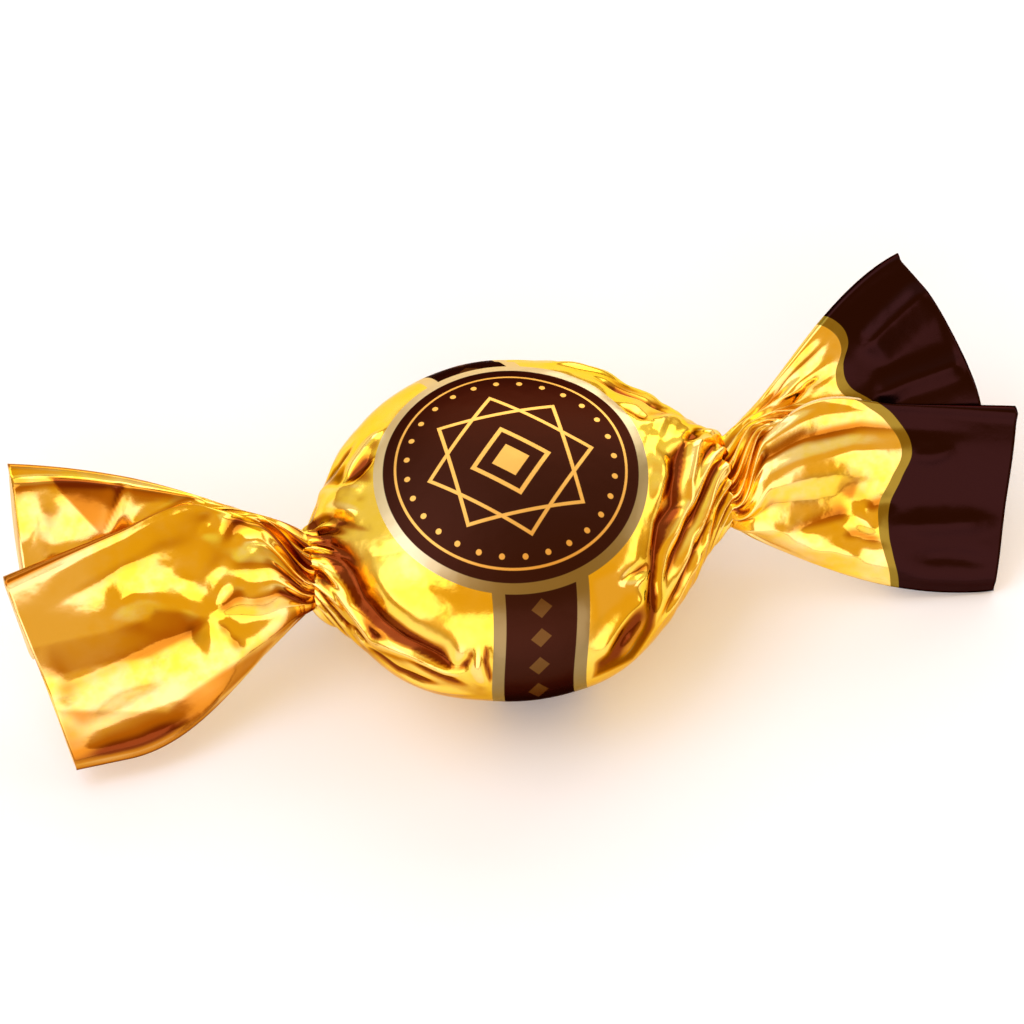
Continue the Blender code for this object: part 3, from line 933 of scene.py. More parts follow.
BODY_FOLDS = (
    Fold(
        (
            (-20.6, 5.8), (-17.5, 0.4), (-17.0, -3.9), (-17.0, -7.1),
            (-16.1, -9.9), (-14.1, -12.8), (-11.8, -15.1), (-9.6, -18.0),
        ),
        -0.75,
        (3.0, 0.9),
        0.12,
    ),
    Fold(
        ((-18.5, -1.5), (-18.4, -4.5), (-18.3, -7.9), (-18.0, -11.3), (-13.8, -14.1), (-9.6, -18.6)),
        0.55,
        (0.9, 1.1),
        0.12,
    ),
    Fold(((-20.5, -4.5), (-20.5, -7.2), (-18.8, -11.7)), -0.40, (0.8, 0.9)),
    Fold(((-19.5, -2.4), (-19.9, -5.9), (-20.0, -10.6), (-17.2, -14.4)), 0.35, (0.7, 1.0)),
    Fold(((-20.6, -9.6), (-17.4, -15.4), (-12.0, -19.6)), -0.40, (0.8, 1.0)),
    Fold(((-19.6, -14.0), (-15.0, -18.4), (-9.0, -22.0)), 0.35, (1.0, 1.2)),
    Fold(((-15.0, -14.2), (-12.6, -17.0), (-9.2, -20.4)), -0.30, (0.7, 0.9)),
    Fold(((-6.9, -15.1), (-7.7, -17.0), (-8.3, -20.8)), 0.42, (0.8, 0.9)),
    Fold(((-5.9, -14.7), (-6.9, -17.4), (-7.3, -21.2)), -0.42, (0.7, 0.6)),
    Fold(((-10.2, -17.7), (-8.2, -16.8), (-7.2, -15.3)), -0.40, (0.9, 0.8)),
    Fold(((-15.2, 4.7), (-13.2, 6.7), (-9.6, 9.4)), 0.48, (1.3, 1.5), 0.25),
    Fold(((-19.4, 8.4), (-15.3, 4.6), (-12.0, 2.6)), 0.48, (1.4, 2.0), 0.25),
    Fold(((-15.1, 4.9), (-12.8, 5.6), (-10.8, 6.2)), -0.35, (1.1, 1.1)),
    Fold(((-19.0, 9.8), (-16.0, 9.2), (-12.4, 10.4)), -0.45, (1.8, 1.6)),
    Fold(((-18.0, 4.6), (-15.6, 2.4), (-13.6, 0.4)), 0.30, (1.1, 1.1)),
    Fold(((-18.2, 2.2), (-15.8, 0.8), (-13.0, -2.6)), -0.26, (1.1, 1.1)),
    Fold(
        (
            (15.5, 1.9), (14.7, -0.5), (14.4, -2.9), (14.4, -5.2),
            (12.7, -7.2), (11.8, -10.0), (11.3, -13.0), (12.1, -16.9),
        ),
        -0.66,
        (0.9, 2.2),
        0.15,
    ),
    Fold(
        ((18.2, 3.8), (15.9, 0.2), (15.5, -2.7), (15.6, -4.7), (13.9, -7.9), (12.4, -10.3)),
        0.60,
        (1.8, 0.8),
        0.2,
    ),
    Fold(((6.9, -12.8), (9.6, -11.6), (11.2, -10.8)), -0.36, (0.8, 0.9)),
    Fold(((7.6, -13.6), (10.0, -12.4), (11.4, -11.8)), 0.28, (0.7, 1.6)),
    Fold(((10.8, -13.8), (7.9, -15.4), (6.1, -17.4), (4.2, -20.2)), 0.42, (1.8, 1.6), 0.2),
    Fold(((10.8, -15.4), (9.0, -18.0), (7.4, -21.2)), 0.36, (1.0, 1.3)),
    Fold(((8.2, -15.8), (7.4, -17.8), (5.4, -20.6)), -0.30, (0.9, 0.9)),
    Fold(((17.6, -1.1), (16.9, -4.2), (15.3, -8.0), (13.1, -12.1), (12.5, -15.8)), -0.50, (1.0, 1.0)),
    Fold(((18.8, 0.4), (18.2, -2.4), (17.5, -5.5), (15.9, -9.8), (13.9, -14.2)), 0.50, (1.0, 0.9)),
    Fold(((19.4, -3.6), (17.6, -8.8), (15.4, -13.4), (12.0, -18.0)), -0.45, (0.9, 1.0)),
    Fold(((19.8, -6.0), (17.0, -12.0), (12.6, -18.6)), 0.42, (1.0, 1.0)),
    Fold(((9.5, 10.6), (12.5, 8.8), (15.4, 6.6), (16.6, 4.6)), -0.50, (1.0, 1.2)),
    Fold(((6.5, 13.8), (14.4, 10.5), (16.6, 7.9), (18.3, 4.6)), 0.45, (1.2, 1.0), 0.2),
    Fold(((1.0, 16.4), (8.0, 15.6), (14.8, 12.4), (18.4, 7.4)), -0.50, (1.2, 1.2), 0.2),
    Fold(((5.0, 18.6), (12.0, 16.4), (17.4, 11.8)), 0.40, (1.2, 1.4)),
    Fold(((11.2, 5.8), (12.5, 4.2), (13.5, 3.1)), -0.35, (0.9, 0.8)),
    Fold(((11.7, 2.1), (13.4, 3.4), (15.0, 4.1), (17.3, 4.4)), 0.42, (0.9, 2.0), 0.25),
    Fold(((15.2, 1.4), (16.4, 1.6), (17.9, 2.6)), -0.50, (0.8, 0.8)),
    Fold(((12.6, 1.0), (13.5, -2.4), (12.2, -5.6)), 0.32, (1.0, 1.4)),
)

# Facets of the body with painted shade, and the last one with a painted highlight.
BODY_PAINTED_LIGHT = (
    PaintedLightPatch(
        (
            (11.4, -13.7), (8.6, -14.9), (6.1, -17.1), (4.2, -20.2),
            (4.4, -22.6), (10.4, -21.6), (12.1, -17.3),
        ),
        1.1,
        0.7,
    ),
    PaintedLightPatch(((12.8, -6.5), (11.7, -9.3), (11.6, -10.4), (13.5, -8.3), (14.7, -6.8), (14.8, -5.4)), 0.75, 0.3),
    PaintedLightPatch(((13.6, -2.0), (11.5, -5.0), (12.4, -5.7), (13.9, -3.8), (14.3, -1.9)), 0.3, 0.2),
    PaintedLightPatch(
        (
            (-16.8, -1.6), (-16.8, -4.7), (-16.3, -7.3), (-14.1, -10.6), (-11.1, -14.9), (-10.3, -17.6),
            (-13.7, -13.8), (-17.4, -11.1), (-17.7, -7.9), (-17.8, -5.0), (-17.7, -2.2),
        ),
        1.0,
        0.5,
    ),
    PaintedLightPatch(
        (
            (-18.0, -11.0), (-13.8, -14.3), (-10.5, -18.1), (-6.2, -20.9), (-6.2, -28.0), (-16.0, -26.0),
            (-22.0, -18.0), (-22.0, -11.0),
        ),
        0.5,
        0.6,
    ),
    PaintedLightPatch(((-15.1, 4.6), (-13.1, 6.3), (-10.2, 8.4), (-12.1, 2.8)), 0.66, 0.25),
    PaintedLightPatch(((-20.4, 8.4), (-18.3, 9.6), (-14.3, 7.8), (-15.4, 4.9), (-18.5, 7.4)), 0.6, 0.3),
    PaintedLightPatch(((-21.0, 5.8), (-18.2, 2.9), (-16.8, -1.6), (-16.9, -5.0), (-19.4, -4.3), (-21.0, 1.0)), 0.5, 0.8),
    PaintedLightPatch(((11.0, 11.6), (14.8, 9.6), (16.9, 6.6), (15.6, 5.6), (12.0, 8.6)), 0.4, 0.4),
    PaintedLightPatch(((4.9, -12.3), (8.6, -11.3), (8.8, -12.9), (7.0, -14.4), (4.9, -15.6)), -0.85, 0.8),
)


@dataclass
class BodyFoil:
    """The foil over the sweet, from neck to neck, with the printed disc and band.

    around is the foil's width. Each net holds the seed, the cell and the stretch of one FacetNet. Places and
    widths in pairs say where something rises and over which distance. The foil lies calm at the front left,
    which takes calm_facets of the facets' height away.
    """

    dome: Dome = field(default_factory=Dome)
    disc: Disc = field(default_factory=Disc)
    rows: int = 194
    columns: int = 500
    overlap: float = 0.9
    pleat_share: float = 0.8
    facet_height: float = 0.24
    fine_facet_height: float = 0.07
    swell_height: float = 0.12
    around: float = 90.0
    coarse_net: tuple[int, float, float] = (31, 5.2, 1.5)
    fine_net: tuple[int, float, float] = (32, 2.3, 1.4)
    swell_net: tuple[int, float, float] = (33, 9.0, 1.0)
    crowding: tuple[float, float] = (0.55, 0.45)
    drawn_in: float = 0.5
    off_disc_over: tuple[float, float] = (-0.6, 1.8)
    under_disc: float = 0.06
    calm_from: tuple[float, float] = (-18.5, 3.0)
    calm_to: tuple[float, float] = (4.0, -5.0)
    calm_back: tuple[float, float] = (4.0, -4.0)
    calm_facets: float = 0.85
    fans_meet: tuple[float, float] = (-2.0, 4.0)
    right_over: tuple[float, float] = (-2.0, 12.0)
    left_facets: float = 0.35
    near_neck_over: tuple[float, float] = (8.0, 8.0)
    off_middle_over: tuple[float, float] = (1.0, 3.0)
    facets_by_side: float = 0.35
    facets_by_neck: float = 0.65
    right_facets: float = 0.8
    pleats_off_disc: float = 1.2
    at_neck_over: tuple[float, float] = (14.5, 3.5)
    loose_pleats: float = 0.75
    behind_over: tuple[float, float] = (1.0, 5.0)
    behind_pleats: float = 0.7
    # Cap on the painted shade of folds and facets.
    darkest: float = 1.3
    chart_radius: float = 14.0
    chart_stretch: float = 1.4

    def chart(self, points: np.ndarray) -> tuple[np.ndarray, np.ndarray]:
        """Unrolls the body from the middle of its crown, as a map in which folds are placed.

        Args:
            points: places on the body.

        Returns:
            Both coordinates of each place on the map.
        """
        out = np.hypot(points[..., 0], points[..., 1])
        polar = np.arctan2(out, self.chart_stretch * (points[..., 2] - self.dome.waist))
        scale = self.chart_radius * polar / np.maximum(out, 1e-6)
        return points[..., 0] * scale, points[..., 1] * scale

    def section_positions(self) -> np.ndarray:
        """Spreads the sections from neck to neck, a little closer together near the necks.

        Returns:
            The position of each section along the sweet.
        """
        reach_left = LEFT_FAN.neck_x + self.overlap
        reach_right = RIGHT_FAN.neck_x + self.overlap
        turn = np.linspace(-0.5 * math.pi, 0.5 * math.pi, self.rows)
        share = self.crowding[0] * np.sin(turn) + self.crowding[1] * turn / (0.5 * math.pi)
        return np.where(share < 0.0, share * reach_left, share * reach_right)

    def smooth_points(self, x: np.ndarray, angle: np.ndarray) -> np.ndarray:
        """Wraps the smooth foil round the sweet.

        Args:
            x: positions of the sections.
            angle: directions in each section.

        Returns:
            The points, a row for each x and a column for each angle.
        """
        sides = []
        for fan in (LEFT_FAN, RIGHT_FAN):
            away = np.minimum(np.abs(x), fan.neck_x)[:, None]
            sides.append(fan.foil_distance(self.dome, away, np.broadcast_to(angle, (len(x), len(angle)))))
        distance = np.where(x[:, None] < 0.0, sides[0], sides[1])
        past_neck = np.maximum(-LEFT_FAN.neck_x - x, x - RIGHT_FAN.neck_x) / self.overlap
        distance = distance * (1.0 - self.drawn_in * np.clip(past_neck, 0.0, 1.0))[:, None]
        along = np.broadcast_to(x[:, None], distance.shape)
        height = self.dome.waist + distance * np.sin(angle)
        return np.stack([along, distance * np.cos(angle), height], axis=-1)

    @staticmethod
    def foil_columns(fan: Fan, x: np.ndarray, angle: np.ndarray) -> np.ndarray:
        """Tells which share of the foil's width lies at each place, once the fan's end has been twisted."""
        start = fan.material_angle(np.zeros(1), np.abs(x)[:, None])
        return (start + fan.tilt - angle) / (2.0 * math.pi) % 1.0

    def off_disc(self, points: np.ndarray) -> np.ndarray:
        """Eases relief away under the printed disc.

        Args:
            points: places on the smooth foil.

        Returns:
            The share of the relief that is left at each place.
        """
        past_rim = np.hypot(points[..., 0], points[..., 1]) - self.disc.radius
        left_over = self.under_disc + (1.0 - self.under_disc) * rise(past_rim, *self.off_disc_over)
        return np.where(points[..., 2] > self.disc.lowest, left_over, 1.0)

    def calm(self, x: np.ndarray) -> np.ndarray:
        """Masks the left of the body, short of its neck."""
        return rise(x, *self.calm_from) * rise(x, *self.calm_to)

    def folds_and_shade(self, points: np.ndarray) -> tuple[np.ndarray, np.ndarray]:
        """Presses in the designed folds, and works out the shade painted into folds and facets.

        Args:
            points: places on the smooth foil.

        Returns:
            The folds' relief, and the shade painted into folds and facets, at each place.
        """
        first, second = self.chart(points)
        off_disc = self.off_disc(points)
        relief = sum(fold.relief(first, second) for fold in BODY_FOLDS) * off_disc
        shade = sum(mark.shade(first, second) for mark in BODY_FOLDS + BODY_PAINTED_LIGHT) * off_disc
        return relief, np.minimum(shade, self.darkest)

    def relief(self, points: np.ndarray, x: np.ndarray, angle: np.ndarray) -> np.ndarray:
        """Adds up the pleats, facets and dents over the smooth foil.

        Args:
            points: the smooth foil, a row for each x and a column for each angle.
            x: positions of the sections.
            angle: directions in each section.

        Returns:
            The height at each point.
        """
        pleats = np.zeros(points.shape[:2])
        w = np.zeros(points.shape[:2])
        blend = rise(x, *self.fans_meet)[:, None]
        for fan, share in ((LEFT_FAN, 1.0 - blend), (RIGHT_FAN, blend)):
            columns = self.foil_columns(fan, x, angle)
            from_neck = np.minimum(np.abs(x) - fan.neck_x, 0.0)[:, None]
            made = fan.pleats(columns, from_neck) + fan.wrinkles(columns, from_neck)
            pleats += np.where((x * fan.side > 0.0)[:, None], made, 0.0)
            w = np.where(share > 0.5, columns * self.around, w)
        s = (x - x[0])[:, None]
        length = x[-1] - x[0]
        turned = angle[None, :] / (2.0 * math.pi) * self.around
        reads = ((self.coarse_net, w), (self.fine_net, w), (self.swell_net, turned))
        coarse, fine, swell = (
            FacetNet(seed, length, self.around, cell, stretch).read(s, place)
            for (seed, cell, stretch), place in reads
        )
        near_right = self.left_facets + (1.0 - self.left_facets) * rise(x, *self.right_over)[:, None]
        near_neck = rise(np.abs(x), *self.near_neck_over)[:, None]
        off_middle = rise(np.abs(x), *self.off_middle_over)[:, None]
        off_disc = self.off_disc(points)
        front_left = self.calm(points[..., 0]) * rise(points[..., 1], *self.calm_back)
        loose = off_disc * (1.0 - self.calm_facets * front_left) * off_middle
        by_neck = np.maximum(near_neck, near_right * self.right_facets)
        loose = loose * (self.facets_by_side * near_right + self.facets_by_neck * by_neck)
        at_neck = rise(np.abs(x), *self.at_neck_over)[:, None]
        behind = rise(points[..., 1], *self.behind_over) * (x > 0.0)[:, None]
        kept = np.maximum(at_neck, (1.0 - self.calm(x)[:, None]) * self.loose_pleats)
        kept = kept * (1.0 - self.behind_pleats * behind)
        return (
            pleats * np.minimum(1.0, off_disc * self.pleats_off_disc) * kept * self.pleat_share
            + loose * (self.facet_height * coarse + self.fine_facet_height * fine)
            + off_disc * self.swell_height * swell
        )

    def build(self) -> bpy.types.Object:
        """Models the body's foil.

        Returns:
            The finished object.
        """
        x = self.section_positions()
        angle = 2.0 * math.pi * (1.0 - np.arange(self.columns) / self.columns)
        smooth = self.smooth_points(x, angle)
        folds, shade = self.folds_and_shade(smooth)
        relief = soften(self.relief(smooth, x, angle) + folds)
        points = smooth + relief[..., None] * outward_normals(smooth)
        points[..., 2] = np.maximum(points[..., 2], 0.0)
        from_neck = np.where(x < 0.0, -LEFT_FAN.neck_x - x, RIGHT_FAN.neck_x - x)
        return Sheet("body_foil", points, x, from_neck, shade, 1).build(0.0, 0)


@dataclass
class FanFoil:
    """The foil of one spread end, from inside its neck to its cut edge.

    around is the foil's width. Each net holds what one FacetNet adds to the fan's seed, its cell and its
    stretch. The facets fall by crumple_fall from crumple_start towards the mouth, where the coarse ones keep
    the share crumple_at_mouth. fold_relief is the share of the relief that the tight folds lose, and
    fold_shade the share of the folds' painted shade that is kept.
    """

    name: str
    fan: Fan
    waist: float = Dome.waist
    rows: int = 112
    columns: int = 300
    root_share: float = -0.05
    wall: float = 0.07
    facet_height: float = 0.20
    fine_facet_height: float = 0.07
    clearance: float = 0.25
    around: float = 70.0
    coarse_net: tuple[int, float, float] = (200, 4.2, 2.2)
    fine_net: tuple[int, float, float] = (201, 2.0, 1.7)
    row_spread: float = 1.1
    crumple_start: float = 1.35
    crumple_fall: float = 2.2
    crumple_at_mouth: float = 0.10
    fold_relief: float = 0.85
    fold_relief_over: float = 0.35
    fold_shade: float = 0.4

    def build(self) -> bpy.types.Object:
        """Models the fan's foil.

        Returns:
            The finished object.
        """
        fan = self.fan
        even = np.linspace(0.0, 1.0, self.rows)
        shares = self.root_share + (1.0 - self.root_share) * even**self.row_spread
        columns = np.arange(self.columns) / self.columns
        along, across, level = fan.plane_points(columns, shares)
        smooth = fan.place(self.waist, along, across, level)
        normals = outward_normals(smooth)
        relief, shade = self.folds_and_shade(columns, along, across)
        relief = soften(relief + self.relief(shares, columns)) * self.off_folds(shares, columns)
        points = smooth + relief[..., None] * normals
        points[..., 2] = np.maximum(points[..., 2], self.clearance)
        points[..., 0] *= fan.side
        from_neck = shares * fan.length
        return Sheet(self.name, points, from_neck, from_neck, shade, fan.side).build(self.wall, 1)

    def off_folds(self, shares: np.ndarray, columns: np.ndarray) -> np.ndarray:
        """Eases relief away at the tight folds between the layers, which it would turn inside out.

        Args:
            shares: shares of the way from the neck to the mouth.
            columns: shares of the way round.

        Returns:
            The share of the relief that is left at each place.
        """
        layers = sum(self.fan.layer_mask(index, columns) for index in range(len(self.fan.layers)))
        folded = smooth_step(shares / self.fold_relief_over)[:, None]
        return 1.0 - self.fold_relief * (1.0 - layers)[None, :] * folded

    def folds_and_shade(
        self, columns: np.ndarray, along: np.ndarray, across: np.ndarray
    ) -> tuple[np.ndarray, np.ndarray]:
        """Gives the designed folds' relief and the shade painted into folds and facets, layer by layer.

        Args:
            columns: shares of the way round.
            along: the smooth surface's distances from the neck.
            across: its positions across the fan.

        Returns:
            The heights and the painted shade at each place.
        """
        relief = np.zeros(along.shape)
        shade = np.zeros(along.shape)
        fan = self.fan
        layers = ((0, fan.front_folds, fan.front_painted_light), (2, fan.rear_folds, fan.rear_painted_light))
        for layer, folds, patches in layers:
            mask = fan.layer_mask(layer, columns)[None, :]
            relief += mask * sum(fold.relief(along, across) for fold in folds)
            shade += self.fold_shade * mask * sum(fold.shade(along, across) for fold in folds)
            shade += mask * sum(patch.shade(along, across) for patch in patches)
        return relief, np.minimum(shade, 1.0)

    def relief(self, shares: np.ndarray, columns: np.ndarray) -> np.ndarray:
        """Adds up the pleats, waves and facets over the smooth fan.

        Args:
            shares: shares of the way from the neck to the mouth.
            columns: shares of the way round.

        Returns:
            The heights, a row for each share.
        """
        fan = self.fan
        s = shares * fan.length
        w = columns * self.around
        pleats = fan.pleats(columns, s[:, None]) + fan.wrinkles(columns, s[:, None])
        coarse, fine = (
            FacetNet(fan.seed + seed, s[-1], self.around, cell, stretch).read(s[:, None], w)
            for seed, cell, stretch in (self.coarse_net, self.fine_net)
        )
        crumpled = smooth_step(self.crumple_start - self.crumple_fall * shares)[:, None]
        total = pleats + fan.swells(columns, shares)
        kept = self.crumple_at_mouth + (1.0 - self.crumple_at_mouth) * crumpled
        total += kept * self.facet_height * coarse
        total += crumpled * self.fine_facet_height * fine
        return total


class Tone(Enum):
    """Linear colours of the foil and its print, and of the shade and highlights painted on the foil."""

    GOLD = (1.0, 0.665, 0.045)
    # The foil's paler mottled tone, its inner side, and the highlight painted on crests.
    PALE_GOLD = (1.0, 0.74, 0.35)
    # Painted shade: amber in the foil's hollows, brown in its deep creases.
    SHADE_AMBER = (0.55, 0.20, 0.014)
    SHADE_DEEP_BROWN = (0.20, 0.036, 0.006)
    CHAMPAGNE = (0.74, 0.59, 0.32)
    # Painted shade on the lower right of the champagne ring and band.
    CHAMPAGNE_SHADE = (0.30, 0.215, 0.085)
    KHAKI = (0.28, 0.185, 0.022)
    LABEL_BROWN = (0.046, 0.0125, 0.0065)
    TAIL_BROWN = (0.026, 0.0070, 0.0060)
    ORNAMENT = (0.88, 0.47, 0.10)
    EDGE_GOLD = (1.0, 0.80, 0.42)
    EDGE_BROWN = (0.20, 0.07, 0.05)

    @property
    def rgba(self) -> tuple[float, float, float, float]:
        """The colour with full alpha."""
        return (*self.value, 1.0)


class Graph:
    """Short forms for wiring a node tree."""

    def __init__(self, tree: bpy.types.NodeTree) -> None:
        """Takes the tree to wire."""
        self.tree = tree

    def node(self, kind: str, **settings: object) -> bpy.types.Node:
        """Adds a node.

        Args:
            kind: type of the node.
            settings: its properties.

        Returns:
            The new node.
        """
        made = self.tree.nodes.new(kind)
        for name, value in settings.items():
            setattr(made, name, value)
        return made

    def feed(self, socket: bpy.types.NodeSocket, value: object) -> None:
        """Links an output to the socket, or sets the socket to a plain value.

        Args:
            socket: the input to feed.
            value: an output or a plain value.
        """
        if isinstance(value, bpy.types.NodeSocket):
            self.tree.links.new(value, socket)
        else:
            socket.default_value = value

    def math(self, operation: str, *values: object) -> bpy.types.NodeSocket:
        """Adds a Math node.

        Args:
            operation: what the node works out.
            values: what it works on.

        Returns:
            Its result.
        """
        made = self.node("ShaderNodeMath", operation=operation)
        for socket, value in zip(made.inputs, values):
            self.feed(socket, value)
        return made.outputs[0]

    def hypot(self, first: object, second: object) -> bpy.types.NodeSocket:
        """Works out the length of a step given by its two sides."""
        squares = [self.math("MULTIPLY", side, side) for side in (first, second)]
        return self.math("SQRT", self.math("ADD", *squares))

    def split(self, vector: object) -> list[bpy.types.NodeSocket]:
        """Splits a vector.

        Args:
            vector: the vector.

        Returns:
            Its X, Y and Z.
        """
        made = self.node("ShaderNodeSeparateXYZ")
        self.feed(made.inputs[0], vector)
        return list(made.outputs)

    def step(self, value: object, low: float, high: float) -> bpy.types.NodeSocket:
        """Rises smoothly from 0 to 1.

        Args:
            value: the value to follow.
            low: the value at which the rise starts, which may be the greater of the two.
            high: the value at which it ends.

        Returns:
            The eased share.
        """
        made = self.node("ShaderNodeMapRange", interpolation_type="SMOOTHSTEP")
        self.feed(made.inputs["Value"], value)
        if low < high:
            ends = (low, high, 0.0, 1.0)
        else:
            ends = (high, low, 1.0, 0.0)
        for name, end in zip(("From Min", "From Max", "To Min", "To Max"), ends):
            made.inputs[name].default_value = end
        return made.outputs[0]

    def mix(self, factor: object, first: object, second: object) -> bpy.types.NodeSocket:
        """Mixes two colours."""
        return self._mixed("RGBA", 6, 2, (factor, first, second))

    def blend(self, factor: object, first: object, second: object) -> bpy.types.NodeSocket:
        """Mixes two numbers."""
        return self._mixed("FLOAT", 2, 0, (factor, first, second))

    def _mixed(self, kind: str, start: int, out: int, values: tuple[object, ...]) -> bpy.types.NodeSocket:
        """Adds a Mix node.

        Args:
            kind: what it mixes.
            start: where the inputs of that kind start.
            out: where the output of that kind is.
            values: the factor, the first and the second value.

        Returns:
            The mixed value.
        """
        made = self.node("ShaderNodeMix", data_type=kind)
        for index, value in zip((0, start, start + 1), values):
            self.feed(made.inputs[index], value)
        return made.outputs[out]

    def noise(self, vector: object, scale: float, detail: float) -> bpy.types.NodeSocket:
        """Adds plain noise.

        Args:
            vector: the place that it reads.
            scale: how fine it is.
            detail: how many finer layers it has.

        Returns:
            A value that averages a half.
        """
        made = self.node("ShaderNodeTexNoise")
        self.feed(made.inputs["Vector"], vector)
        made.inputs["Scale"].default_value = scale
        made.inputs["Detail"].default_value = detail
        return made.outputs["Fac"]


def new_group(name: str, inputs: dict[str, str], outputs: dict[str, str]) -> tuple[Graph, object, object]:
    """Starts a shader node group.

    Args:
        name: name of the group.
        inputs: socket type of each named input.
        outputs: socket type of each named output.

    Returns:
        The group's graph, its input node and its output node.
    """
    tree = bpy.data.node_groups.new(name, "ShaderNodeTree")
    for label, kind in inputs.items():
        tree.interface.new_socket(label, in_out="INPUT", socket_type=kind)
    for label, kind in outputs.items():
        tree.interface.new_socket(label, in_out="OUTPUT", socket_type=kind)
    graph = Graph(tree)
    return graph, graph.node("NodeGroupInput"), graph.node("NodeGroupOutput")


class Effects:
    """Shader node groups that more than one finish uses, each built once.

    DENTS, GRAIN, BROAD and NARROW each hold the scale and the detail of a noise.
    """

    DENTS: ClassVar[tuple[float, float]] = (0.55, 1.5)
    GRAIN: ClassVar[tuple[float, float]] = (4.5, 2.0)
    GRAIN_SHARE: ClassVar[float] = 0.06
    BROAD: ClassVar[tuple[float, float]] = (0.13, 2.0)
    NARROW: ClassVar[tuple[float, float]] = (0.9, 4.0)
    NARROW_SHARE: ClassVar[float] = 0.3
    MOTTLE_OVER: ClassVar[tuple[float, float]] = (0.36, 0.64)

    def __init__(self) -> None:
        """Builds the groups."""
        self.grain = self._grain()
        self.mottle = self._mottle()

    def _grain(self) -> bpy.types.NodeTree:
        """Builds the height of the foil's finest unevenness: soft dents and a faint rolling grain.

        Returns:
            The group's tree.
        """
        graph, source, sink = new_group(
            "foil_grain", {"Place": "NodeSocketVector"}, {"Height": "NodeSocketFloat"}
        )
        dents = graph.noise(source.outputs["Place"], *self.DENTS)
        grain = graph.noise(source.outputs["Place"], *self.GRAIN)
        graph.feed(sink.inputs["Height"], graph.math("MULTIPLY_ADD", grain, self.GRAIN_SHARE, dents))
        return graph.tree

    def _mottle(self) -> bpy.types.NodeTree:
        """Builds the soft unevenness of the metal layer's tone.

        Returns:
            The group's tree.
        """
        graph, source, sink = new_group(
            "metal_mottle", {"Place": "NodeSocketVector"}, {"Value": "NodeSocketFloat"}
        )
        broad = graph.noise(source.outputs["Place"], *self.BROAD)
        narrow = graph.noise(source.outputs["Place"], *self.NARROW)
        broad = graph.math("MULTIPLY", broad, 1.0 - self.NARROW_SHARE)
        both = graph.math("MULTIPLY_ADD", narrow, self.NARROW_SHARE, broad)
        graph.feed(sink.inputs["Value"], graph.step(both, *self.MOTTLE_OVER))
        return graph.tree


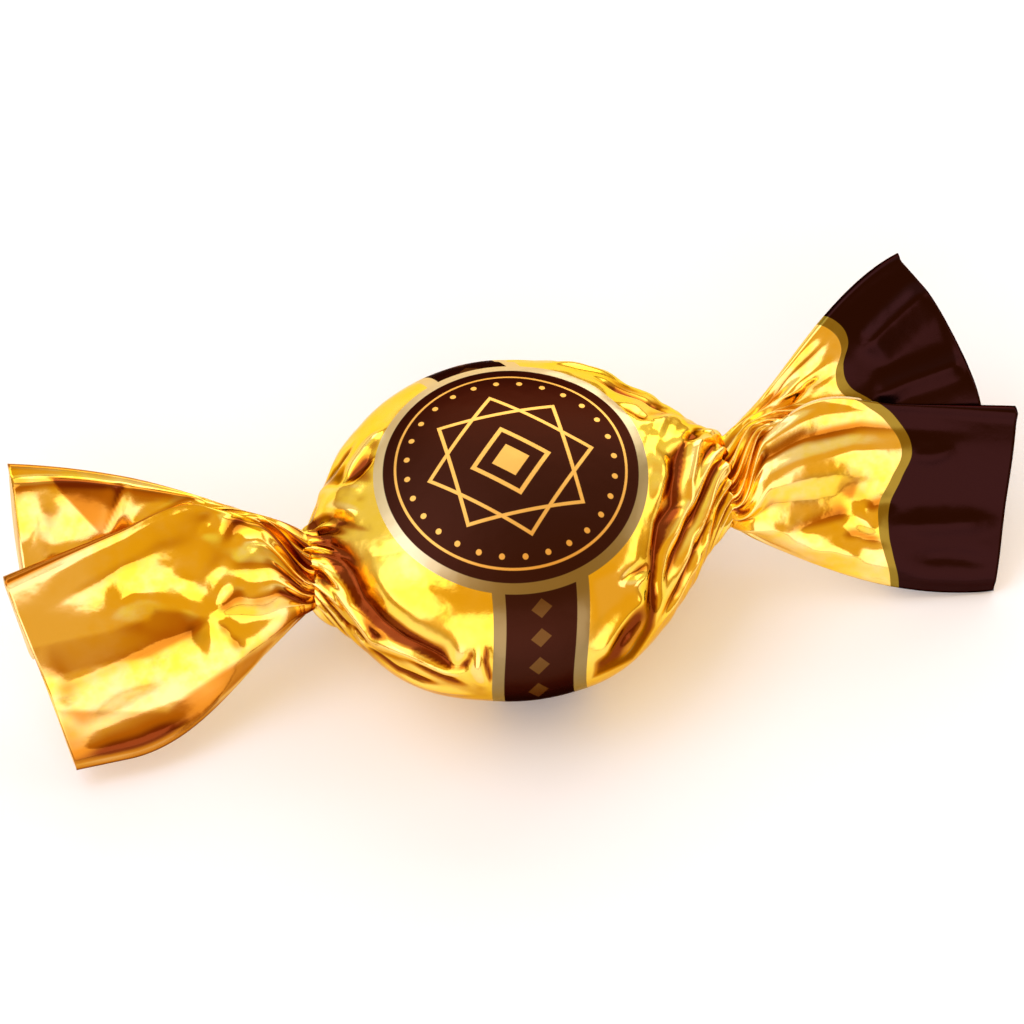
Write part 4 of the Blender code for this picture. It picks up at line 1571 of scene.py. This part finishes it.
@dataclass(frozen=True)
class FoilFinish:
    """Metallised foil: its tones, the shade and highlights painted on it, its gloss and the depth of its
    finest dents.

    The three ranges for crests, hollows and deep creases hold the values of the foil's painted shading
    attribute between which the painted highlight on crests, the painted shade in hollows and the deeper
    painted shade in deep creases come in. soft is half the width of a print's edge, in millimetres.
    """

    name: str
    tone: Tone = Tone.GOLD
    painted_hollow_shade: Tone = Tone.SHADE_AMBER
    painted_deep_shade: Tone = Tone.SHADE_DEEP_BROWN
    pale_tone: Tone = Tone.PALE_GOLD
    pale_share: float = 0.35
    crest_highlight_share: float = 0.5
    crest_highlight_over: tuple[float, float] = (-0.1, -0.8)
    hollow_shade_over: tuple[float, float] = (0.05, 0.62)
    deep_shade_over: tuple[float, float] = (0.58, 1.0)
    print_tone: Tone = Tone.TAIL_BROWN
    border_tone: Tone = Tone.KHAKI
    metallic: float = 1.0
    roughness: float = 0.15
    roughness_swing: float = 0.08
    print_roughness: float = 0.24
    champagne_roughness: float = 0.32
    dent_depth: float = 0.00010
    dent_strength: float = 0.5
    soft: float = 0.04

    def start(self, effects: Effects) -> tuple[bpy.types.Material, Graph, bpy.types.Node, dict[str, object]]:
        """Starts the finish with bare foil.

        Args:
            effects: the shared node groups.

        Returns:
            The material, its graph, its shader, and the bare foil's colour, roughness and millimetre place.
        """
        material = bpy.data.materials.new(self.name)
        material.use_nodes = True
        graph = Graph(material.node_tree)
        shader = material.node_tree.nodes["Principled BSDF"]
        shader.inputs["Metallic"].default_value = self.metallic
        coordinates = graph.node("ShaderNodeTexCoord")
        scale = graph.node("ShaderNodeMapping")
        scale.inputs["Scale"].default_value = (1.0 / MM, 1.0 / MM, 1.0 / MM)
        graph.feed(scale.inputs["Vector"], coordinates.outputs["Object"])
        place = scale.outputs[0]
        painted_shading = graph.node("ShaderNodeAttribute", attribute_name="painted_shading").outputs["Fac"]
        mottle = graph.node("ShaderNodeGroup")
        mottle.node_tree = effects.mottle
        graph.feed(mottle.inputs["Place"], place)
        # Colour: the foil's own mottled tone, a painted highlight on crests, painted shade in hollows and
        # deeper painted shade in deep creases.
        pale = graph.math("MULTIPLY", mottle.outputs["Value"], self.pale_share)
        crest = graph.math("MULTIPLY", graph.step(painted_shading, *self.crest_highlight_over), self.crest_highlight_share)
        colour = graph.mix(graph.math("MAXIMUM", pale, crest), self.tone.rgba, self.pale_tone.rgba)
        colour = graph.mix(graph.step(painted_shading, *self.hollow_shade_over), colour, self.painted_hollow_shade.rgba)
        colour = graph.mix(graph.step(painted_shading, *self.deep_shade_over), colour, self.painted_deep_shade.rgba)
        smoothest = self.roughness - 0.5 * self.roughness_swing
        roughness = graph.math("MULTIPLY_ADD", mottle.outputs["Value"], self.roughness_swing, smoothest)
        grain = graph.node("ShaderNodeGroup")
        grain.node_tree = effects.grain
        graph.feed(grain.inputs["Place"], place)
        bump = graph.node("ShaderNodeBump")
        bump.inputs["Strength"].default_value = self.dent_strength
        bump.inputs["Distance"].default_value = self.dent_depth
        graph.feed(bump.inputs["Height"], grain.outputs["Height"])
        graph.feed(shader.inputs["Normal"], bump.outputs[0])
        made = {"colour": colour, "edge": Tone.EDGE_GOLD.rgba, "roughness": roughness, "place": place}
        return material, graph, shader, made

    def finish(self, graph: Graph, shader: bpy.types.Node, made: dict[str, object]) -> None:
        """Wires the last colours and roughness to the shader.

        Args:
            graph: the material's graph.
            shader: the material's shader.
            made: the sockets to wire.
        """
        graph.feed(shader.inputs["Base Color"], made["colour"])
        graph.feed(shader.inputs["Specular Tint"], made["edge"])
        graph.feed(shader.inputs["Roughness"], made["roughness"])

    def plain(self, effects: Effects) -> bpy.types.Material:
        """Makes the bare foil.

        Args:
            effects: the shared node groups.

        Returns:
            The material.
        """
        material, graph, shader, made = self.start(effects)
        self.finish(graph, shader, made)
        return material

    def print_over(
        self,
        graph: Graph,
        made: dict[str, object],
        border: object,
        tone: object,
        dark: object,
        ornament: object,
    ) -> None:
        """Prints over the bare foil.

        Args:
            graph: the material's graph.
            made: the bare foil's sockets, which the print replaces.
            border: mask of the champagne borders.
            tone: colour of the borders.
            dark: mask of the brown print.
            ornament: mask of the gold ornament over the brown, or 0.
        """
        colour = graph.mix(border, made["colour"], tone)
        colour = graph.mix(dark, colour, self.print_tone.rgba)
        made["colour"] = graph.mix(ornament, colour, Tone.ORNAMENT.rgba)
        made["edge"] = graph.mix(dark, made["edge"], Tone.EDGE_BROWN.rgba)
        roughness = graph.blend(border, made["roughness"], self.champagne_roughness)
        made["roughness"] = graph.blend(dark, roughness, self.print_roughness)


@dataclass(frozen=True)
class DiscPrint(FoilFinish):
    """The body's foil with the printed disc, its ring and ornament, and the band round the body.

    ring_line, squares_line and lozenge_line hold a line's distance from the disc's middle and half its
    width, and beads hold their distance and their size. The links are the band's lozenges. shade_over is
    where the champagne ring and band turn to a painted shade, towards the lower right. crown_fade is the
    height over which the disc fades out under its rim, and drift_power says how late the band starts to drift.
    """

    print_tone: Tone = Tone.LABEL_BROWN
    border_tone: Tone = Tone.CHAMPAGNE
    shade_tone: Tone = Tone.CHAMPAGNE_SHADE
    print_roughness: float = 0.42
    disc: Disc = Disc()
    ring_line: tuple[float, float] = (10.2, 0.11)
    beads: tuple[float, float] = (9.2, 0.26)
    bead_count: float = 28.0
    squares_line: tuple[float, float] = (5.2, 0.16)
    lozenge_line: tuple[float, float] = (2.4, 0.2)
    stud: float = 1.2
    link_pitch: float = 2.6
    link_size: float = 0.85
    link_slope: float = 0.72
    link_width: float = 0.9
    link_strength: float = 0.12
    shade_over: tuple[float, float] = (-3.0, 11.0)
    shade_along: float = 0.5
    crown_fade: float = 0.5
    drift_power: float = 4.0

    def dress(self, effects: Effects) -> bpy.types.Material:
        """Makes the body's material.

        Args:
            effects: the shared node groups.

        Returns:
            The material.
        """
        material, graph, shader, made = self.start(effects)
        x, y, z = graph.split(made["place"])
        disc_x = graph.math("SUBTRACT", x, self.disc.centre[0])
        shift = -self.disc.centre[1] / self.disc.stretch
        disc_y = graph.math("MULTIPLY_ADD", y, 1.0 / self.disc.stretch, shift)
        radius = graph.hypot(disc_x, disc_y)
        crown = graph.step(z, self.disc.lowest - self.crown_fade, self.disc.lowest)
        outer = graph.math("MULTIPLY", self.inside(graph, radius, self.disc.radius), crown)
        inner = graph.math("MULTIPLY", self.inside(graph, radius, self.disc.radius - self.disc.ring), crown)
        drift = graph.math("POWER", graph.math("MULTIPLY", y, 1.0 / Dome.radius), self.drift_power)
        centre = graph.math("MULTIPLY_ADD", drift, -self.disc.band_drift, self.disc.band_shift)
        off = graph.math("ABSOLUTE", graph.math("SUBTRACT", x, centre))
        half = self.disc.band_half_width
        band = self.inside(graph, off, half)
        border = graph.math("MAXIMUM", outer, band)
        band_dark = self.inside(graph, off, half - self.disc.band_edge)
        band_dark = graph.math("MULTIPLY", band_dark, graph.math("SUBTRACT", 1.0, outer))
        dark = graph.math("MAXIMUM", inner, band_dark)
        ornament = graph.math("MULTIPLY", inner, self.medallion(graph, disc_x, disc_y, radius))
        links = graph.math("MULTIPLY", band_dark, self.chain(graph, off, y, z))
        ornament = graph.math("MAXIMUM", ornament, graph.math("MULTIPLY", links, self.link_strength))
        # Painted shade: the champagne ring and band darken towards the lower right.
        lower = graph.math("MULTIPLY_ADD", x, self.shade_along, graph.math("MULTIPLY", y, -1.0))
        lower = graph.step(lower, *self.shade_over)
        tone = graph.mix(lower, self.border_tone.rgba, self.shade_tone.rgba)
        self.print_over(graph, made, border, tone, dark, ornament)
        self.finish(graph, shader, made)
        return material

    def inside(self, graph: Graph, value: object, limit: float) -> bpy.types.NodeSocket:
        """Masks where the value is under the limit."""
        return graph.step(value, limit + self.soft, limit - self.soft)

    def line(self, graph: Graph, value: object, middle: float, half_width: float) -> bpy.types.NodeSocket:
        """Masks a thin line where the value is close to its middle."""
        away = graph.math("ABSOLUTE", graph.math("SUBTRACT", value, middle))
        return self.inside(graph, away, half_width)

    def medallion(self, graph: Graph, x: object, y: object, radius: object) -> bpy.types.NodeSocket:
        """Masks the disc's ornament: a fine ring, beads, and two crossed squares round a lozenge.

        Args:
            graph: the material's graph.
            x: distance from the disc's middle along the sweet.
            y: distance from the disc's middle across the sweet.
            radius: distance from the disc's middle.

        Returns:
            The mask.
        """
        ring = self.line(graph, radius, *self.ring_line)
        angle = graph.math("ARCTAN2", y, x)
        sector = graph.math("FRACT", graph.math("MULTIPLY", angle, self.bead_count / (2.0 * math.pi)))
        pitch = self.beads[0] * 2.0 * math.pi / self.bead_count
        aside = graph.math("MULTIPLY", graph.math("SUBTRACT", sector, 0.5), pitch)
        from_bead = graph.hypot(aside, graph.math("SUBTRACT", radius, self.beads[0]))
        beads = self.inside(graph, from_bead, self.beads[1])
        ax = graph.math("ABSOLUTE", x)
        ay = graph.math("ABSOLUTE", y)
        square = graph.math("MAXIMUM", ax, ay)
        lozenge = graph.math("MULTIPLY", graph.math("ADD", ax, ay), math.sqrt(0.5))
        marks = (
            ring,
            beads,
            self.line(graph, square, *self.squares_line),
            self.line(graph, lozenge, *self.squares_line),
            self.line(graph, lozenge, *self.lozenge_line),
            self.inside(graph, lozenge, self.stud),
        )
        return functools.reduce(lambda one, other: graph.math("MAXIMUM", one, other), marks)

    def chain(self, graph: Graph, off: object, y: object, z: object) -> bpy.types.NodeSocket:
        """Masks the band's row of small lozenges.

        Args:
            graph: the material's graph.
            off: distance from the band's middle.
            y: position across the sweet.
            z: height over the table.

        Returns:
            The mask.
        """
        down = graph.math("SUBTRACT", graph.math("ABSOLUTE", y), z)
        run = graph.math("MULTIPLY", down, self.link_slope)
        sector = graph.math("FRACT", graph.math("MULTIPLY", run, 1.0 / self.link_pitch))
        aside = graph.math("ABSOLUTE", graph.math("SUBTRACT", sector, 0.5))
        aside = graph.math("MULTIPLY", aside, self.link_pitch)
        across = graph.math("MULTIPLY", off, self.link_width)
        return self.inside(graph, graph.math("ADD", across, aside), self.link_size)


@dataclass(frozen=True)
class WavyPrint(FoilFinish):
    """The right fan's foil: brown beyond a wavy champagne border that runs round the whole fan.

    edge holds the border's outer line, as directions from the neck in degrees and distances in millimetres.
    widest and farthest are the limits between which it is drawn, and border is the border's width.
    """

    fan: Fan = RIGHT_FAN
    edge: tuple[tuple[float, float], ...] = (
        (-50.0, 20.6),
        (-41.0, 18.3),
        (-34.0, 16.4),
        (-27.0, 15.3),
        (-19.0, 15.0),
        (-10.0, 15.8),
        (-1.0, 16.9),
        (10.0, 16.2),
        (18.0, 15.1),
        (27.0, 14.2),
        (33.0, 14.9),
        (38.0, 17.0),
        (43.0, 17.6),
        (50.0, 17.2),
    )
    widest: float = 50.0
    farthest: float = 25.0
    border: float = 0.95

    def dress(self, effects: Effects) -> bpy.types.Material:
        """Makes the printed fan's material.

        Args:
            effects: the shared node groups.

        Returns:
            The material.
        """
        material, graph, shader, made = self.start(effects)
        turned = graph.node("ShaderNodeMapping")
        cos, sin = math.cos(self.fan.tilt), math.sin(self.fan.tilt)
        turned.inputs["Rotation"].default_value = (-self.fan.tilt, 0.0, 0.0)
        turned.inputs["Location"].default_value = (-self.fan.neck_x, -Dome.waist * sin, -Dome.waist * cos)
        graph.feed(turned.inputs["Vector"], made["place"])
        along, across, _ = graph.split(turned.outputs[0])
        angle = graph.math("ARCTAN2", across, along)
        reach = graph.hypot(along, across)
        turn = graph.math("MULTIPLY_ADD", angle, math.degrees(1.0) / (2.0 * self.widest), 0.5)
        past_edge = graph.node("ShaderNodeFloatCurve")
        graph.feed(past_edge.inputs["Value"], turn)
        points = past_edge.mapping.curves[0].points
        for index, (degrees, distance) in enumerate(self.edge):
            place = (0.5 + 0.5 * degrees / self.widest, distance / self.farthest)
            if index in (0, 1):
                points[index].location = place
            else:
                points.new(*place)
        past_edge.mapping.update()
        edge = graph.math("MULTIPLY", past_edge.outputs[0], self.farthest)
        past = graph.math("SUBTRACT", reach, edge)
        dark = graph.step(past, -self.soft, self.soft)
        border = graph.step(past, -self.border - self.soft, -self.border + self.soft)
        self.print_over(graph, made, border, self.border_tone.rgba, dark, 0.0)
        self.finish(graph, shader, made)
        return material


@dataclass
class Sweet:
    """The whole wrapped sweet: three sheets of foil and their finishes."""

    body: BodyFoil = field(default_factory=BodyFoil)
    left: FanFoil = field(default_factory=lambda: FanFoil("left_fan_foil", LEFT_FAN))
    right: FanFoil = field(default_factory=lambda: FanFoil("right_fan_foil", RIGHT_FAN))

    def build(self) -> None:
        """Builds and dresses the three sheets."""
        effects = Effects()
        bare = FoilFinish("bare_gold_foil", pale_share=0.72).plain(effects)
        # The inner side gets no painted shade in hollows, and a champagne painted shade in deep creases.
        inside = FoilFinish(
            "foil_inner_side",
            tone=Tone.PALE_GOLD,
            painted_hollow_shade=Tone.PALE_GOLD,
            painted_deep_shade=Tone.CHAMPAGNE,
            roughness=0.42,
            metallic=0.35,
        ).plain(effects)
        self.dress(self.body.build(), [DiscPrint("printed_gold_foil", pale_share=0.22).dress(effects)])
        self.dress(self.left.build(), [bare, inside])
        printed = WavyPrint("wavy_printed_foil", pale_share=0.72).dress(effects)
        self.dress(self.right.build(), [printed, inside])

    @staticmethod
    def dress(piece: bpy.types.Object, materials: list[bpy.types.Material]) -> None:
        """Gives a sheet its materials and says what it stands for.

        Args:
            piece: the sheet's object.
            materials: its materials, the outer side's first.
        """
        for material in materials:
            piece.data.materials.append(material)
        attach(piece, "root")
        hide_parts(SOLID)
        LOG.info("%s: %d faces", piece.name, len(piece.data.polygons))


@dataclass(frozen=True)
class Softbox:
    """A soft rectangular light that looks at the sweet."""

    name: str
    towards: tuple[float, float, float]
    distance: float
    width: float
    height: float
    radiance: float
    colour: tuple[float, float, float] = (1.0, 1.0, 1.0)

    def build(self) -> None:
        """Hangs the light."""
        data = bpy.data.lights.new(self.name, "AREA")
        data.shape = "RECTANGLE"
        data.size = self.width
        data.size_y = self.height
        data.energy = self.radiance * self.width * self.height * math.pi
        data.color = self.colour
        lamp = bpy.data.objects.new(self.name, data)
        direction = Vector(self.towards).normalized()
        lamp.location = direction * self.distance
        lamp.rotation_euler = direction.to_track_quat("Z", "Y").to_euler()
        bpy.context.scene.collection.objects.link(lamp)


@dataclass(frozen=True)
class Studio:
    """A pale floor, soft lights and a long-lens camera above the front."""

    azimuth: float = math.radians(-14.1)
    elevation: float = math.radians(55.3)
    distance: float = 0.6
    aim_height: float = 0.008
    aim_right: float = 0.00021
    aim_up: float = 0.00177
    lens_mm: float = 236.0
    sensor_mm: float = 36.0
    nearest: float = 0.01
    floor_size: float = 3.0
    floor_roughness: float = 0.9
    floor_tone: tuple[float, float, float] = (0.95, 0.98, 1.0)
    overhead: tuple[float, float, float] = (0.78, 0.475, 0.09)
    behind: tuple[float, float, float] = (0.86, 0.80, 0.70)
    horizon: tuple[float, float, float] = (0.52, 0.33, 0.13)
    behind_over: tuple[float, float] = (-0.1, 0.3)
    horizon_over: tuple[float, float] = (-0.05, 0.4)
    boxes: tuple[Softbox, ...] = (
        Softbox("front_card", (-0.14, -0.88, 0.46), 0.85, 1.05, 0.78, 1.12, (0.89, 1.0, 1.43)),
        Softbox("left_card", (-0.90, -0.10, 0.62), 0.85, 0.70, 0.60, 1.16, (0.89, 1.0, 1.43)),
        Softbox("top_card", (-0.42, 0.28, 0.88), 0.85, 0.70, 0.46, 1.2, (0.89, 1.0, 1.43)),
        Softbox("back_card", (0.35, 0.85, 0.50), 1.00, 1.10, 0.56, 1.9, (0.97, 1.0, 1.2)),
        Softbox("right_card", (0.95, -0.05, 0.52), 0.95, 0.50, 0.42, 1.12, (0.92, 1.0, 1.35)),
    )

    def build(self) -> None:
        """Sets up the camera, the lights and the floor."""
        self._camera()
        for box in self.boxes:
            box.build()
        self._world()
        self._floor()
        bpy.context.scene.view_settings.view_transform = "Standard"

    def _camera(self) -> None:
        """Places the camera as the photograph was taken."""
        level = math.cos(self.elevation)
        towards = (math.sin(self.azimuth) * level, -math.cos(self.azimuth) * level, math.sin(self.elevation))
        back = Vector(towards)
        right = Vector((math.cos(self.azimuth), math.sin(self.azimuth), 0.0))
        up = back.cross(right)
        aim = Vector((0.0, 0.0, self.aim_height)) + self.aim_right * right + self.aim_up * up
        data = bpy.data.cameras.new("camera")
        data.lens = self.lens_mm
        data.sensor_width = self.sensor_mm
        data.clip_start = self.nearest
        camera = bpy.data.objects.new("camera", data)
        camera.location = aim + self.distance * back
        camera.rotation_euler = back.to_track_quat("Z", "Y").to_euler()
        bpy.context.scene.collection.objects.link(camera)
        bpy.context.scene.camera = camera

    def _world(self) -> None:
        """Fills the room with warm light that darkens to amber near the horizon."""
        world = bpy.data.worlds.new("studio")
        world.use_nodes = True
        graph = Graph(world.node_tree)
        background = world.node_tree.nodes["Background"]
        direction = graph.node("ShaderNodeTexCoord").outputs["Generated"]
        _, depth, height = graph.split(direction)
        rear = graph.step(depth, *self.behind_over)
        above = graph.mix(rear, (*self.overhead, 1.0), (*self.behind, 1.0))
        colour = graph.mix(graph.step(height, *self.horizon_over), (*self.horizon, 1.0), above)
        graph.feed(background.inputs["Color"], colour)
        bpy.context.scene.world = world

    def _floor(self) -> None:
        """Lays the floor."""
        sheet = bmesh.new()
        bmesh.ops.create_grid(sheet, x_segments=1, y_segments=1, size=0.5 * self.floor_size)
        data = bpy.data.meshes.new("floor")
        sheet.to_mesh(data)
        sheet.free()
        material = bpy.data.materials.new("pale_floor")
        material.use_nodes = True
        shader = material.node_tree.nodes["Principled BSDF"]
        shader.inputs["Base Color"].default_value = (*self.floor_tone, 1.0)
        shader.inputs["Roughness"].default_value = self.floor_roughness
        data.materials.append(material)
        floor = bpy.data.objects.new("floor", data)
        bpy.context.scene.collection.objects.link(floor)


def main() -> None:
    """Builds the sweet and its studio."""
    logging.basicConfig(level=logging.INFO, format="%(message)s")
    Studio().build()
    Sweet().build()


if __name__ == "__main__":
    main()
